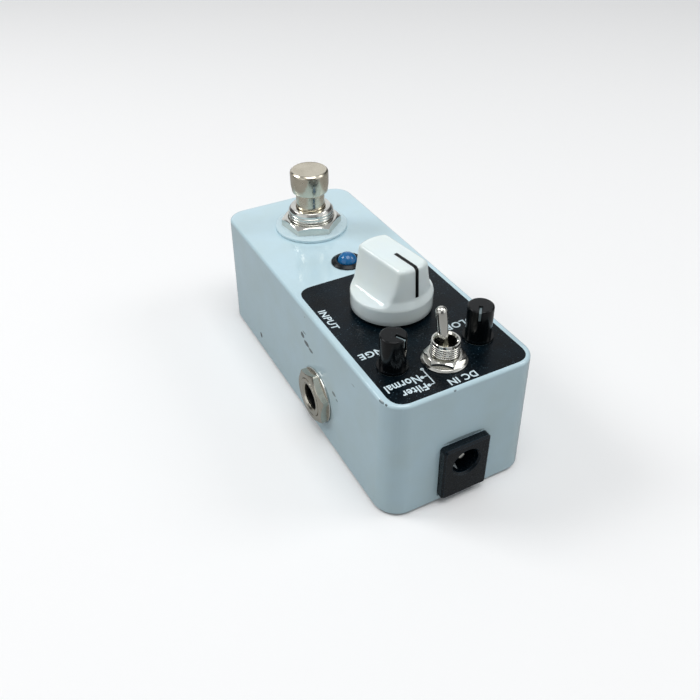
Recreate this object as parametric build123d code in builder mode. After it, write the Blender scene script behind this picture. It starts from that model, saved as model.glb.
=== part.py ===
from build123d import *
import math
import os

# A small die-cast effects pedal for guitar: one foot switch, one large knob, two small knobs,
# a two-way toggle, a jack on each side and a power inlet on the end.
# Millimetres. +X is the side of the input jack, +Y is the end with the power inlet, +Z is up.
# The origin is the centre of the face that the rubber pad stands on.

os.makedirs("parts", exist_ok=True)

# ---------------------------------------------------------------- driving dimensions
# Case
PAD_T = 0.8
BODY_L = 93.5
BODY_W = 38.2
BODY_H = 31.4
DRAFT = 0.72  # how much each wall leans in over the height of the case
CORNER_R = 5.9
EDGE_R = 0.8
WALL = 1.9
ROOF_T = 2.2
RIM_T = 1.0
PLATE_T = 1.6
GAP = 0.05  # running clearance on radius, and the fit of the base plate
HOLE_GAP = 0.1  # clearance of each hole in the case round what stands in it
FLOOR_T = 1.6  # floor of each potentiometer and of the toggle's body
MOUTH_CHAMFER = 0.35

# Base fasteners
BOSS_X = 14.4
BOSS_Y = 42.0
BOSS_R = 3.2
SCREW_R = 1.5
SCREW_LEN = 10.0
SCREW_HEAD_R = 2.7
SCREW_HEAD_H = 1.4
CROSS_LEN = 3.0
CROSS_W = 0.6
CROSS_DEPTH = 0.9

# Rubber pad
PAD_L = 76.0
PAD_W = 31.0
PAD_CORNER_R = 4.0

# Circuit board
BOARD_Z = 21.6
BOARD_T = 1.6
BOARD_HALF_W = 15.5
BOARD_Y_MIN = -13.0
BOARD_Y_STEP = 37.8
BOARD_Y_MAX = 43.6
BOARD_NECK_HALF_W = 10.0
PIN_R = 0.4
PIN_HOLE_R = 0.55
PIN_DROP = 1.0

# Foot switch
SWITCH_Y = -28.3
SWITCH_SIDE = 17.0
SWITCH_CAN_Z = 18.5
SWITCH_TOP_Z = 27.5
SWITCH_BASE_Z = 13.0
SWITCH_PLATE_T = 1.2
SWITCH_CAN_T = 1.0
SWITCH_BUSH_R = 6.0
SWITCH_BUSH_RISE = 6.3
SWITCH_BUSH_EDGE_R = 0.8
SWITCH_NUT_AF = 14.0
SWITCH_NUT_T = 2.3
SWITCH_INNER_NUT_T = 2.0
SWITCH_LOCK_T = 0.5
SWITCH_LOCK_R = 8.2
NYLON_R = 9.65
NYLON_T = 0.9
STEM_R = 3.75
CAP_R = 5.0
CAP_FOOT_R = 4.6
CAP_FACE_R = 4.5
CAP_FLARE_H = 2.0
CAP_BOTTOM_RISE = 10.6
CAP_TOP_RISE = 16.5
COLLAR_R = 5.0
COLLAR_T = 1.6
TAIL_R = 2.5
TAIL_ENTRY = 0.95  # how far the stem's tail stands in the base when the switch is up
TAIL_DEPTH = 4.2
SPRING_WIRE_R = 0.25
SPRING_R = 3.9
SPRING_TURNS = 4
LUG_PITCH = 5.0
LUG_SIZE = (2.2, 0.8)
LUG_LEN = 3.6
SWITCH_BOARD_SIDE = (17.0, 19.6)
SWITCH_BOARD_Z = 10.6
SWITCH_BOARD_T = 1.2

# Indicator light
LED_Y = -7.3
LED_R = 2.5
LED_CENTRE_RISE = 0.1
LED_BODY_H = 5.5
LED_FLANGE_R = 2.9
LED_FLANGE_T = 1.0
BEZEL_R = 4.1
BEZEL_RISE = 0.8
BEZEL_EDGE = 0.3
BEZEL_BARREL_R = 3.2
BEZEL_DROP = 0.8
LED_LEG_X = 1.27
LED_LEG_SIDE = 0.5

# Large knob and its potentiometer
KNOB_Y = 14.6
KNOB_GAP = 1.0
KNOB_SKIRT_R = 9.55
KNOB_SKIRT_RISE = 5.3
KNOB_WAIST_R = 8.8
KNOB_WAIST_RISE = 6.8
KNOB_TOP_R = 8.3
KNOB_TOP_RISE = 14.5
KNOB_EDGE_R = 0.7
KNOB_TURN = 8.5  # degrees anticlockwise from +Y
KNOB_BAR_TOP = 3.9
KNOB_BAR_FOOT = 5.2
KNOB_RECESS_R = 7.2
KNOB_RECESS_RISE = 3.6
KNOB_THROAT_R = 4.1
KNOB_THROAT_RISE = 5.0
POT_W = 9.8
POT_L = 11.6
POT_TOP_Z = 29.9
POT_PLATE_T = 0.8
POT_BUSH_R = 3.5
POT_BUSH_RISE = 4.0
POT_SHAFT_R = 3.0
POT_SHAFT_RISE = 11.0
POT_FLAT = 1.5
POT_NUT_AF = 10.0
POT_NUT_T = 2.0
POT_WASHER_R = 5.5
POT_WASHER_T = 0.5
POT_FOOT_R = 4.0
POT_FOOT_T = 1.0

# Small potentiometers, whose shafts are their own knobs
TRIM_X = 10.8
TRIM_Y = 33.7
TRIM_R = 2.9
TRIM_RISE = 8.4
TRIM_EDGE_R = 0.35
TRIM_FLANGE_R = 3.45
TRIM_FLANGE_T = 0.5
TRIM_FLANGE_GAP = 0.15
TRIM_BODY_W = 9.6
TRIM_BODY_BACK = 6.0
TRIM_BODY_FRONT = 4.9
TRIM_SLOT_W = 0.9
TRIM_SLOT_DEPTH = 0.45
TRIM_SLOT_RISE = 5.6
TRIM_TURNS = {"left": 39.0, "right": -27.0}  # degrees clockwise from +Y, seen from above

# Toggle switch
TOGGLE_Y = 36.9
TOGGLE_LEAN = 14.0
TOGGLE_PIVOT_RISE = 1.2
TOGGLE_TIP_RISE = 12.4
TOGGLE_TIP_R = 1.25
TOGGLE_NECK_R = 1.1
TOGGLE_BALL_R = 1.7
TOGGLE_TAIL = 5.4
TOGGLE_BUSH_R = 3.0
TOGGLE_BORE_R = 2.35
TOGGLE_BUSH_RISE = 5.4
TOGGLE_KEYWAY_W = 0.9
TOGGLE_KEYWAY_DEPTH = 0.45
TOGGLE_NUT_AF = 8.0
TOGGLE_NUT_T = 1.2
TOGGLE_WASHER_R = 5.05
TOGGLE_WASHER_T = 0.8
TOGGLE_PLATE_T = 0.8
TOGGLE_BODY_W = 6.9
TOGGLE_BODY_L = 12.8
TOGGLE_PIN_R = 0.5
TOGGLE_PIN_LEN = 5.4

# Jacks
JACK_Z = 11.2
JACK_SIDES = {"input": (1, 12.6), "output": (-1, -4.4)}
JACK_SEAT_X = 18.65
JACK_SEAT_R = 7.3
JACK_WASHER_R = 7.05
JACK_WASHER_T = 0.55
JACK_NUT_AF = 12.3
JACK_NUT_T = 1.95
JACK_FACE_X = 21.25
JACK_BUSH_R = 4.75
JACK_BORE_R = 3.2
JACK_BUSH_FOOT_X = 12.7
JACK_FRONT_X = 16.7
JACK_BACK_X = -10.5
JACK_WALL = 1.2
JACK_W = 14.0
JACK_H = 13.0

# Power inlet
INLET_Z = 11.5
INLET_BORE_R = 3.3
INLET_MOUTH_R = 3.75
INLET_BORE_DEPTH = 10.0
INLET_FACE_Y = 48.4
INLET_SEAT_Y = 46.36
INLET_PLATE_W = 12.0
INLET_PLATE_Z = (2.05, 16.95)
INLET_PLATE_EDGE = 0.9
INLET_BODY_W = 9.0
INLET_BODY_Z = (6.0, 16.8)
INLET_BACK_Y = 34.4
INLET_PIN_R = 1.05
INLET_PIN_TIP_Y = 46.4
INLET_PIN_ROOT_R = 0.7

# ---------------------------------------------------------------- derived levels
BASE_Z = PAD_T
TOP_Z = BASE_Z + BODY_H
CEIL_Z = TOP_Z - ROOF_T
LEDGE_Z = BASE_Z + PLATE_T
BOARD_TOP_Z = BOARD_Z + BOARD_T
INLET_PLATE_H = INLET_PLATE_Z[1] - INLET_PLATE_Z[0]
INLET_BODY_H = INLET_BODY_Z[1] - INLET_BODY_Z[0]
INLET_BORE_END_Y = INLET_FACE_Y - INLET_BORE_DEPTH
DRAFT_DEG = math.degrees(math.atan(DRAFT / BODY_H))
COLLAR_TOP_Z = SWITCH_TOP_Z - SWITCH_PLATE_T - GAP
KNOB_BOTTOM_Z = TOP_Z + KNOB_GAP
TOGGLE_PIVOT_Z = TOP_Z + TOGGLE_PIVOT_RISE
HEX = 6


def ring_side(side, distance):
    """A sketch plane across a jack's axis, facing out of the case, at a distance from the centre."""
    sign, y = JACK_SIDES[side]
    return Plane(origin=(sign * distance, y, JACK_Z), x_dir=(0, sign, 0), z_dir=(sign, 0, 0))


# ---------------------------------------------------------------- case
with BuildPart() as enclosure_shell:
    with BuildSketch(Plane.XY.offset(BASE_Z)):
        RectangleRounded(BODY_W, BODY_L, CORNER_R)
    extrude(amount=BODY_H, taper=DRAFT_DEG)
    fillet(enclosure_shell.faces().sort_by(Axis.Z)[-1].edges(), EDGE_R)
    with BuildSketch(Plane.XY.offset(BASE_Z)):
        RectangleRounded(BODY_W - 2 * WALL, BODY_L - 2 * WALL, CORNER_R - WALL)
    extrude(amount=BODY_H - ROOF_T, taper=DRAFT_DEG, mode=Mode.SUBTRACT)
    with BuildSketch(Plane.XY.offset(LEDGE_Z)):
        with GridLocations(2 * BOSS_X, 2 * BOSS_Y, 2, 2):
            Circle(BOSS_R)
    extrude(amount=CEIL_Z - LEDGE_Z)
    with BuildSketch(Plane.XY.offset(BASE_Z)):
        RectangleRounded(BODY_W - 2 * RIM_T, BODY_L - 2 * RIM_T, CORNER_R - RIM_T)
    extrude(amount=PLATE_T, mode=Mode.SUBTRACT)
    with BuildSketch(Plane.XY.offset(LEDGE_Z)):
        with GridLocations(2 * BOSS_X, 2 * BOSS_Y, 2, 2):
            Circle(SCREW_R + GAP)
    extrude(amount=SCREW_LEN, mode=Mode.SUBTRACT)
    with BuildSketch(Plane.XY.offset(CEIL_Z)):
        with Locations((0, SWITCH_Y)):
            Circle(SWITCH_BUSH_R + HOLE_GAP)
        with Locations((0, LED_Y)):
            Circle(BEZEL_BARREL_R + GAP)
        with Locations((0, KNOB_Y)):
            Circle(POT_BUSH_R + HOLE_GAP)
        with Locations((-TRIM_X, TRIM_Y), (TRIM_X, TRIM_Y)):
            Circle(TRIM_R + 2 * HOLE_GAP)
        with Locations((0, TOGGLE_Y)):
            Circle(TOGGLE_BUSH_R + HOLE_GAP)
    extrude(amount=ROOF_T, mode=Mode.SUBTRACT)
    with BuildSketch(ring_side("input", JACK_SEAT_X), ring_side("output", JACK_SEAT_X)):
        Circle(JACK_SEAT_R)
    extrude(amount=WALL, mode=Mode.SUBTRACT)
    with BuildSketch(ring_side("input", JACK_FRONT_X), ring_side("output", JACK_FRONT_X)):
        Circle(JACK_BUSH_R + HOLE_GAP)
    extrude(amount=WALL + DRAFT, mode=Mode.SUBTRACT)
    with BuildSketch(Plane.XZ.offset(-INLET_SEAT_Y)):
        with Locations((0, sum(INLET_PLATE_Z) / 2)):
            Rectangle(INLET_PLATE_W + 2 * HOLE_GAP, INLET_PLATE_H + 2 * HOLE_GAP)
    extrude(amount=-WALL, mode=Mode.SUBTRACT)
    with BuildSketch(Plane.XZ.offset(-INLET_SEAT_Y)):
        with Locations((0, sum(INLET_BODY_Z) / 2)):
            Rectangle(INLET_BODY_W + 2 * HOLE_GAP, INLET_BODY_H + 2 * HOLE_GAP)
    extrude(amount=2 * WALL, mode=Mode.SUBTRACT)
enclosure_shell.part.label = "enclosure_shell"
export_step(enclosure_shell.part, "parts/enclosure_shell.step")

with BuildPart() as base_plate:
    with BuildSketch(Plane.XY.offset(BASE_Z)):
        fit = RIM_T + GAP
        RectangleRounded(BODY_W - 2 * fit, BODY_L - 2 * fit, CORNER_R - fit)
    extrude(amount=PLATE_T)
    with Locations(Plane.XY.offset(BASE_Z)):
        with GridLocations(2 * BOSS_X, 2 * BOSS_Y, 2, 2):
            Cone(
                bottom_radius=SCREW_HEAD_R + GAP,
                top_radius=SCREW_R + GAP,
                height=SCREW_HEAD_H,
                align=(Align.CENTER, Align.CENTER, Align.MIN),
                mode=Mode.SUBTRACT,
            )
            Hole(SCREW_R + GAP)
base_plate.part.label = "base_plate"
export_step(base_plate.part, "parts/base_plate.step")

with BuildPart() as base_screws:
    with Locations(Plane.XY.offset(BASE_Z)):
        with GridLocations(2 * BOSS_X, 2 * BOSS_Y, 2, 2):
            Cone(
                bottom_radius=SCREW_HEAD_R,
                top_radius=SCREW_R,
                height=SCREW_HEAD_H,
                align=(Align.CENTER, Align.CENTER, Align.MIN),
            )
            Cylinder(
                radius=SCREW_R,
                height=SCREW_LEN,
                align=(Align.CENTER, Align.CENTER, Align.MIN),
            )
    with BuildSketch(Plane.XY.offset(BASE_Z)):
        with GridLocations(2 * BOSS_X, 2 * BOSS_Y, 2, 2):
            Rectangle(CROSS_LEN, CROSS_W)
            Rectangle(CROSS_W, CROSS_LEN)
    extrude(amount=CROSS_DEPTH, mode=Mode.SUBTRACT)
base_screws.part.label = "base_screws"
export_step(base_screws.part, "parts/base_screws.step")

with BuildPart() as rubber_pad:
    with BuildSketch(Plane.XY):
        RectangleRounded(PAD_W, PAD_L, PAD_CORNER_R)
    extrude(amount=PAD_T)
rubber_pad.part.label = "rubber_pad"
export_step(rubber_pad.part, "parts/rubber_pad.step")

# ---------------------------------------------------------------- circuit board
POT_PIN_X = (-2.5, 0.0, 2.5)
POT_PIN_BACK = 4.5
POT_PINS = [(x, KNOB_Y - POT_PIN_BACK) for x in POT_PIN_X]
POT_PINS += [(side * TRIM_X + x, TRIM_Y - POT_PIN_BACK) for side in (-1, 1) for x in POT_PIN_X]
TOGGLE_PINS = [(0, TOGGLE_Y + y) for y in (-4.0, 0.0, 4.0)]
JACK_PIN_X = (-8.0, 0.0, 13.0)
JACK_PIN_SIDE = 5.2
JACK_PINS = {
    side: [(sign * x, y + sign * JACK_PIN_SIDE) for x in JACK_PIN_X]
    for side, (sign, y) in JACK_SIDES.items()
}
INLET_PINS = [(-3.0, 37.4), (3.0, 37.4), (-3.0, 41.4)]
LED_LEGS = [(-LED_LEG_X, LED_Y), (LED_LEG_X, LED_Y)]

with BuildPart() as main_board:
    with BuildSketch(Plane.XY.offset(BOARD_Z)):
        with Locations((0, (BOARD_Y_MIN + BOARD_Y_STEP) / 2)):
            Rectangle(2 * BOARD_HALF_W, BOARD_Y_STEP - BOARD_Y_MIN)
        with Locations((0, (BOARD_Y_MIN + BOARD_Y_MAX) / 2)):
            Rectangle(2 * BOARD_NECK_HALF_W, BOARD_Y_MAX - BOARD_Y_MIN)
        with Locations(*POT_PINS, *TOGGLE_PINS, *JACK_PINS["input"], *JACK_PINS["output"]):
            Circle(PIN_HOLE_R, mode=Mode.SUBTRACT)
        with Locations(*INLET_PINS, *LED_LEGS):
            Circle(PIN_HOLE_R, mode=Mode.SUBTRACT)
    extrude(amount=BOARD_T)
main_board.part.label = "main_board"
export_step(main_board.part, "parts/main_board.step")

# Centre x and y, then width, length and height.
CHIPS = [
    (-9.5, 3.5, 9.6, 6.4, 3.2),
    (9.0, -4.0, 5.0, 4.0, 1.6),
    (-9.0, 20.5, 5.0, 4.0, 1.6),
    (9.5, 4.0, 5.0, 4.0, 1.6),
]
with BuildPart() as board_chips:
    for x, y, width, length, height in CHIPS:
        with Locations((x, y, BOARD_Z)):
            Box(width, length, height, align=(Align.CENTER, Align.CENTER, Align.MAX))
board_chips.part.label = "board_chips"
export_step(board_chips.part, "parts/board_chips.step")

CAN_PLACES = [(-12.5, 25.6), (-4.5, 24.5), (4.5, 24.5), (12.0, 24.0)]
CAN_R = 2.5
CAN_H = 6.0
CAN_EDGE_R = 0.4
with BuildPart() as board_capacitors:
    with BuildSketch(Plane.XY.offset(BOARD_Z)):
        with Locations(*CAN_PLACES):
            Circle(CAN_R)
    extrude(amount=-CAN_H)
    fillet(board_capacitors.faces().filter_by(Axis.Z).sort_by(Axis.Z)[:4].edges(), CAN_EDGE_R)
board_capacitors.part.label = "board_capacitors"
export_step(board_capacitors.part, "parts/board_capacitors.step")

CHIP_R_SIZE = (1.6, 0.8, 0.5)
with BuildPart() as board_resistors:
    with Locations(Plane.XY.offset(BOARD_TOP_Z)):
        with Locations((-11.5, 2.0), (11.5, 2.0)):
            with GridLocations(3.0, 2.2, 2, 5):
                Box(*CHIP_R_SIZE, align=(Align.CENTER, Align.CENTER, Align.MIN))
board_resistors.part.label = "board_resistors"
export_step(board_resistors.part, "parts/board_resistors.step")

TRIMMER_SIDE = 4.6
TRIMMER_H = 2.2
TRIMMER_CROSS_W = 0.6
TRIMMER_PLACES = [(-11.0, 13.0), (-11.0, 20.0)]
with BuildPart() as board_trimmers:
    with BuildSketch(Plane.XY.offset(BOARD_TOP_Z)):
        with Locations(*TRIMMER_PLACES):
            Rectangle(TRIMMER_SIDE, TRIMMER_SIDE)
    extrude(amount=TRIMMER_H)
    with BuildSketch(Plane.XY.offset(BOARD_TOP_Z + TRIMMER_H)):
        with Locations(*TRIMMER_PLACES):
            Rectangle(TRIMMER_SIDE / 2, TRIMMER_CROSS_W)
            Rectangle(TRIMMER_CROSS_W, TRIMMER_SIDE / 2)
    extrude(amount=-TRIMMER_CROSS_W, mode=Mode.SUBTRACT)
board_trimmers.part.label = "board_trimmers"
export_step(board_trimmers.part, "parts/board_trimmers.step")

with BuildPart() as pot_pins:
    with BuildSketch(Plane.XY.offset(BOARD_TOP_Z)):
        with Locations(*POT_PINS):
            Circle(PIN_R)
    extrude(amount=-BOARD_T - PIN_DROP)
pot_pins.part.label = "pot_pins"
export_step(pot_pins.part, "parts/pot_pins.step")

# ---------------------------------------------------------------- indicator light
with BuildPart() as led_bezel:
    with BuildSketch(Plane.XZ.offset(-LED_Y)):
        with BuildLine():
            Polyline(
                (LED_R + GAP, CEIL_Z - BEZEL_DROP),
                (BEZEL_BARREL_R, CEIL_Z - BEZEL_DROP),
                (BEZEL_BARREL_R, TOP_Z),
                (BEZEL_R, TOP_Z),
                (BEZEL_R, TOP_Z + BEZEL_EDGE),
                (BEZEL_BARREL_R, TOP_Z + BEZEL_RISE),
                (LED_R + GAP, TOP_Z + BEZEL_RISE),
                close=True,
            )
        make_face()
    revolve(axis=Axis((0, LED_Y, 0), (0, 0, 1)))
led_bezel.part.label = "led_bezel"
export_step(led_bezel.part, "parts/led_bezel.step")

LED_CENTRE_Z = TOP_Z + LED_CENTRE_RISE
LED_FOOT_Z = LED_CENTRE_Z - LED_BODY_H
with BuildPart() as led_lens:
    with BuildSketch(Plane.XY.offset(LED_FOOT_Z)):
        with Locations((0, LED_Y)):
            Circle(LED_FLANGE_R)
    extrude(amount=LED_FLANGE_T)
    with BuildSketch(Plane.XY.offset(LED_FOOT_Z)):
        with Locations((0, LED_Y)):
            Circle(LED_R)
    extrude(amount=LED_BODY_H)
    with Locations((0, LED_Y, LED_CENTRE_Z)):
        Sphere(LED_R)
led_lens.part.label = "led_lens"
export_step(led_lens.part, "parts/led_lens.step")

with BuildPart() as led_legs:
    with BuildSketch(Plane.XY.offset(LED_FOOT_Z)):
        with Locations(*LED_LEGS):
            Rectangle(LED_LEG_SIDE, LED_LEG_SIDE)
    extrude(amount=BOARD_Z - PIN_DROP - LED_FOOT_Z)
led_legs.part.label = "led_legs"
export_step(led_legs.part, "parts/led_legs.step")

# ---------------------------------------------------------------- foot switch
SWITCH_AXIS = Axis((0, SWITCH_Y, 0), (0, 0, 1))


def switch_plane(z):
    """A level sketch plane centred on the foot switch."""
    return Plane(origin=(0, SWITCH_Y, z), x_dir=(1, 0, 0), z_dir=(0, 0, 1))


with BuildPart() as footswitch_body:
    with BuildSketch(switch_plane(SWITCH_CAN_Z)):
        RectangleRounded(SWITCH_SIDE, SWITCH_SIDE, SWITCH_CAN_T)
    extrude(amount=SWITCH_TOP_Z - SWITCH_CAN_Z)
    with BuildSketch(switch_plane(SWITCH_CAN_Z)):
        Rectangle(SWITCH_SIDE - 2 * SWITCH_CAN_T, SWITCH_SIDE - 2 * SWITCH_CAN_T)
    extrude(amount=SWITCH_TOP_Z - SWITCH_CAN_Z - SWITCH_PLATE_T, mode=Mode.SUBTRACT)
    with BuildSketch(switch_plane(SWITCH_TOP_Z)):
        Circle(STEM_R + GAP)
    extrude(amount=-SWITCH_PLATE_T, mode=Mode.SUBTRACT)
footswitch_body.part.label = "footswitch_body"
export_step(footswitch_body.part, "parts/footswitch_body.step")

with BuildPart() as footswitch_base:
    with BuildSketch(switch_plane(SWITCH_BASE_Z)):
        RectangleRounded(SWITCH_SIDE, SWITCH_SIDE, SWITCH_CAN_T)
    extrude(amount=SWITCH_CAN_Z - SWITCH_BASE_Z)
    with BuildSketch(switch_plane(SWITCH_CAN_Z)):
        Circle(TAIL_R + GAP)
    extrude(amount=-TAIL_DEPTH, mode=Mode.SUBTRACT)
footswitch_base.part.label = "footswitch_base"
export_step(footswitch_base.part, "parts/footswitch_base.step")

with BuildPart() as footswitch_bushing:
    with BuildSketch(switch_plane(SWITCH_TOP_Z)):
        Circle(SWITCH_BUSH_R)
        Circle(STEM_R + GAP, mode=Mode.SUBTRACT)
    extrude(amount=TOP_Z + SWITCH_BUSH_RISE - SWITCH_TOP_Z)
    rim = footswitch_bushing.edges().filter_by(GeomType.CIRCLE).group_by(Axis.Z)[-1]
    fillet(rim.sort_by(SortBy.RADIUS)[-1], SWITCH_BUSH_EDGE_R)
footswitch_bushing.part.label = "footswitch_bushing"
export_step(footswitch_bushing.part, "parts/footswitch_bushing.step")

with BuildPart() as footswitch_inner_nut:
    with BuildSketch(switch_plane(SWITCH_TOP_Z)):
        RegularPolygon(SWITCH_NUT_AF / 2, HEX, major_radius=False)
        Circle(SWITCH_BUSH_R + GAP, mode=Mode.SUBTRACT)
    extrude(amount=SWITCH_INNER_NUT_T)
footswitch_inner_nut.part.label = "footswitch_inner_nut"
export_step(footswitch_inner_nut.part, "parts/footswitch_inner_nut.step")

TEETH = 12
TOOTH = (1.2, 1.0)
with BuildPart() as footswitch_lock_washer:
    with BuildSketch(switch_plane(CEIL_Z - SWITCH_LOCK_T)):
        Circle(SWITCH_LOCK_R)
        with PolarLocations(SWITCH_LOCK_R, TEETH):
            Rectangle(*TOOTH, mode=Mode.SUBTRACT)
        Circle(SWITCH_BUSH_R + GAP, mode=Mode.SUBTRACT)
    extrude(amount=SWITCH_LOCK_T)
footswitch_lock_washer.part.label = "footswitch_lock_washer"
export_step(footswitch_lock_washer.part, "parts/footswitch_lock_washer.step")

with BuildPart() as footswitch_washer:
    with BuildSketch(switch_plane(TOP_Z)):
        Circle(NYLON_R)
        Circle(SWITCH_BUSH_R + GAP, mode=Mode.SUBTRACT)
    extrude(amount=NYLON_T)
    rim = footswitch_washer.edges().filter_by(GeomType.CIRCLE).group_by(Axis.Z)[-1]
    fillet(rim.sort_by(SortBy.RADIUS)[-1], NYLON_T / 3)
footswitch_washer.part.label = "footswitch_washer"
export_step(footswitch_washer.part, "parts/footswitch_washer.step")

SWITCH_NUT_TURN = 39.0
with BuildPart() as footswitch_nut:
    with BuildSketch(switch_plane(TOP_Z + NYLON_T)):
        RegularPolygon(SWITCH_NUT_AF / 2, HEX, major_radius=False, rotation=SWITCH_NUT_TURN)
        Circle(SWITCH_BUSH_R + GAP, mode=Mode.SUBTRACT)
    extrude(amount=SWITCH_NUT_T)
footswitch_nut.part.label = "footswitch_nut"
export_step(footswitch_nut.part, "parts/footswitch_nut.step")

with BuildPart() as footswitch_button:
    with BuildSketch(Plane.XZ.offset(-SWITCH_Y)):
        with BuildLine():
            Polyline(
                (0, SWITCH_CAN_Z - TAIL_ENTRY),
                (TAIL_R, SWITCH_CAN_Z - TAIL_ENTRY),
                (TAIL_R, COLLAR_TOP_Z - COLLAR_T),
                (COLLAR_R, COLLAR_TOP_Z - COLLAR_T),
                (COLLAR_R, COLLAR_TOP_Z),
                (STEM_R, COLLAR_TOP_Z),
                (STEM_R, TOP_Z + CAP_BOTTOM_RISE),
                (CAP_FOOT_R, TOP_Z + CAP_BOTTOM_RISE),
                (CAP_R, TOP_Z + CAP_BOTTOM_RISE + CAP_FLARE_H),
                (CAP_R, TOP_Z + CAP_TOP_RISE - CAP_R + CAP_FACE_R),
                (CAP_FACE_R, TOP_Z + CAP_TOP_RISE),
                (0, TOP_Z + CAP_TOP_RISE),
                close=True,
            )
        make_face()
    revolve(axis=SWITCH_AXIS)
footswitch_button.part.label = "footswitch_button"
export_step(footswitch_button.part, "parts/footswitch_button.step")

SPRING_BOTTOM_Z = SWITCH_CAN_Z + SPRING_WIRE_R + GAP
SPRING_TOP_Z = COLLAR_TOP_Z - COLLAR_T - SPRING_WIRE_R - GAP
SPRING_H = SPRING_TOP_Z - SPRING_BOTTOM_Z
with BuildPart() as footswitch_spring:
    with BuildLine():
        coil = Helix(SPRING_H / SPRING_TURNS, SPRING_H, SPRING_R, center=(0, SWITCH_Y, SPRING_BOTTOM_Z))
    with BuildSketch(Plane(origin=coil @ 0, z_dir=coil % 0)):
        Circle(SPRING_WIRE_R)
    sweep(path=coil, is_frenet=True)
footswitch_spring.part.label = "footswitch_spring"
export_step(footswitch_spring.part, "parts/footswitch_spring.step")

with BuildPart() as footswitch_terminals:
    with BuildSketch(switch_plane(SWITCH_BASE_Z)):
        with GridLocations(LUG_PITCH, LUG_PITCH, 3, 3):
            Rectangle(*LUG_SIZE)
    extrude(amount=-LUG_LEN)
footswitch_terminals.part.label = "footswitch_terminals"
export_step(footswitch_terminals.part, "parts/footswitch_terminals.step")

with BuildPart() as switch_board:
    with BuildSketch(switch_plane(SWITCH_BOARD_Z)):
        with Locations((0, (SWITCH_BOARD_SIDE[1] - SWITCH_SIDE) / 2)):
            Rectangle(*SWITCH_BOARD_SIDE)
        with GridLocations(LUG_PITCH, LUG_PITCH, 3, 3):
            Rectangle(LUG_SIZE[0] + 2 * GAP, LUG_SIZE[1] + 2 * GAP, mode=Mode.SUBTRACT)
    extrude(amount=SWITCH_BOARD_T)
switch_board.part.label = "switch_board"
export_step(switch_board.part, "parts/switch_board.step")

# A flat ribbon rises from the switch's board and bends into a header under the main board.
RIBBON_W = 10.0
RIBBON_T = 0.9
RIBBON_Y = -18.3
RIBBON_BEND_R = 2.5
HEADER_SIZE = (12.0, 3.0, 2.6)
HEADER_Y = BOARD_Y_MIN + HEADER_SIZE[1] / 2
RIBBON_TOP_Z = BOARD_Z - HEADER_SIZE[2] / 2
with BuildPart() as ribbon_cable:
    with BuildLine() as ribbon_path:
        FilletPolyline(
            (0, RIBBON_Y, SWITCH_BOARD_Z + SWITCH_BOARD_T),
            (0, RIBBON_Y, RIBBON_TOP_Z),
            (0, BOARD_Y_MIN, RIBBON_TOP_Z),
            radius=RIBBON_BEND_R,
        )
    with BuildSketch(Plane.XY.offset(SWITCH_BOARD_Z + SWITCH_BOARD_T)):
        with Locations((0, RIBBON_Y)):
            Rectangle(RIBBON_W, RIBBON_T)
    sweep(path=ribbon_path.line)
ribbon_cable.part.label = "ribbon_cable"
export_step(ribbon_cable.part, "parts/ribbon_cable.step")

with BuildPart() as ribbon_header:
    with Locations((0, HEADER_Y, BOARD_Z)):
        Box(*HEADER_SIZE, align=(Align.CENTER, Align.CENTER, Align.MAX))
ribbon_header.part.label = "ribbon_header"
export_step(ribbon_header.part, "parts/ribbon_header.step")

# ---------------------------------------------------------------- large knob and its potentiometer
KNOB_AXIS = Axis((0, KNOB_Y, 0), (0, 0, 1))


def knob_plane(z):
    """A level sketch plane on the knob's axis, with its y axis along the pointer."""
    turn = math.radians(KNOB_TURN)
    x_dir = (math.cos(turn), math.sin(turn), 0)
    return Plane(origin=(0, KNOB_Y, z), x_dir=x_dir, z_dir=(0, 0, 1))


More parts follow.
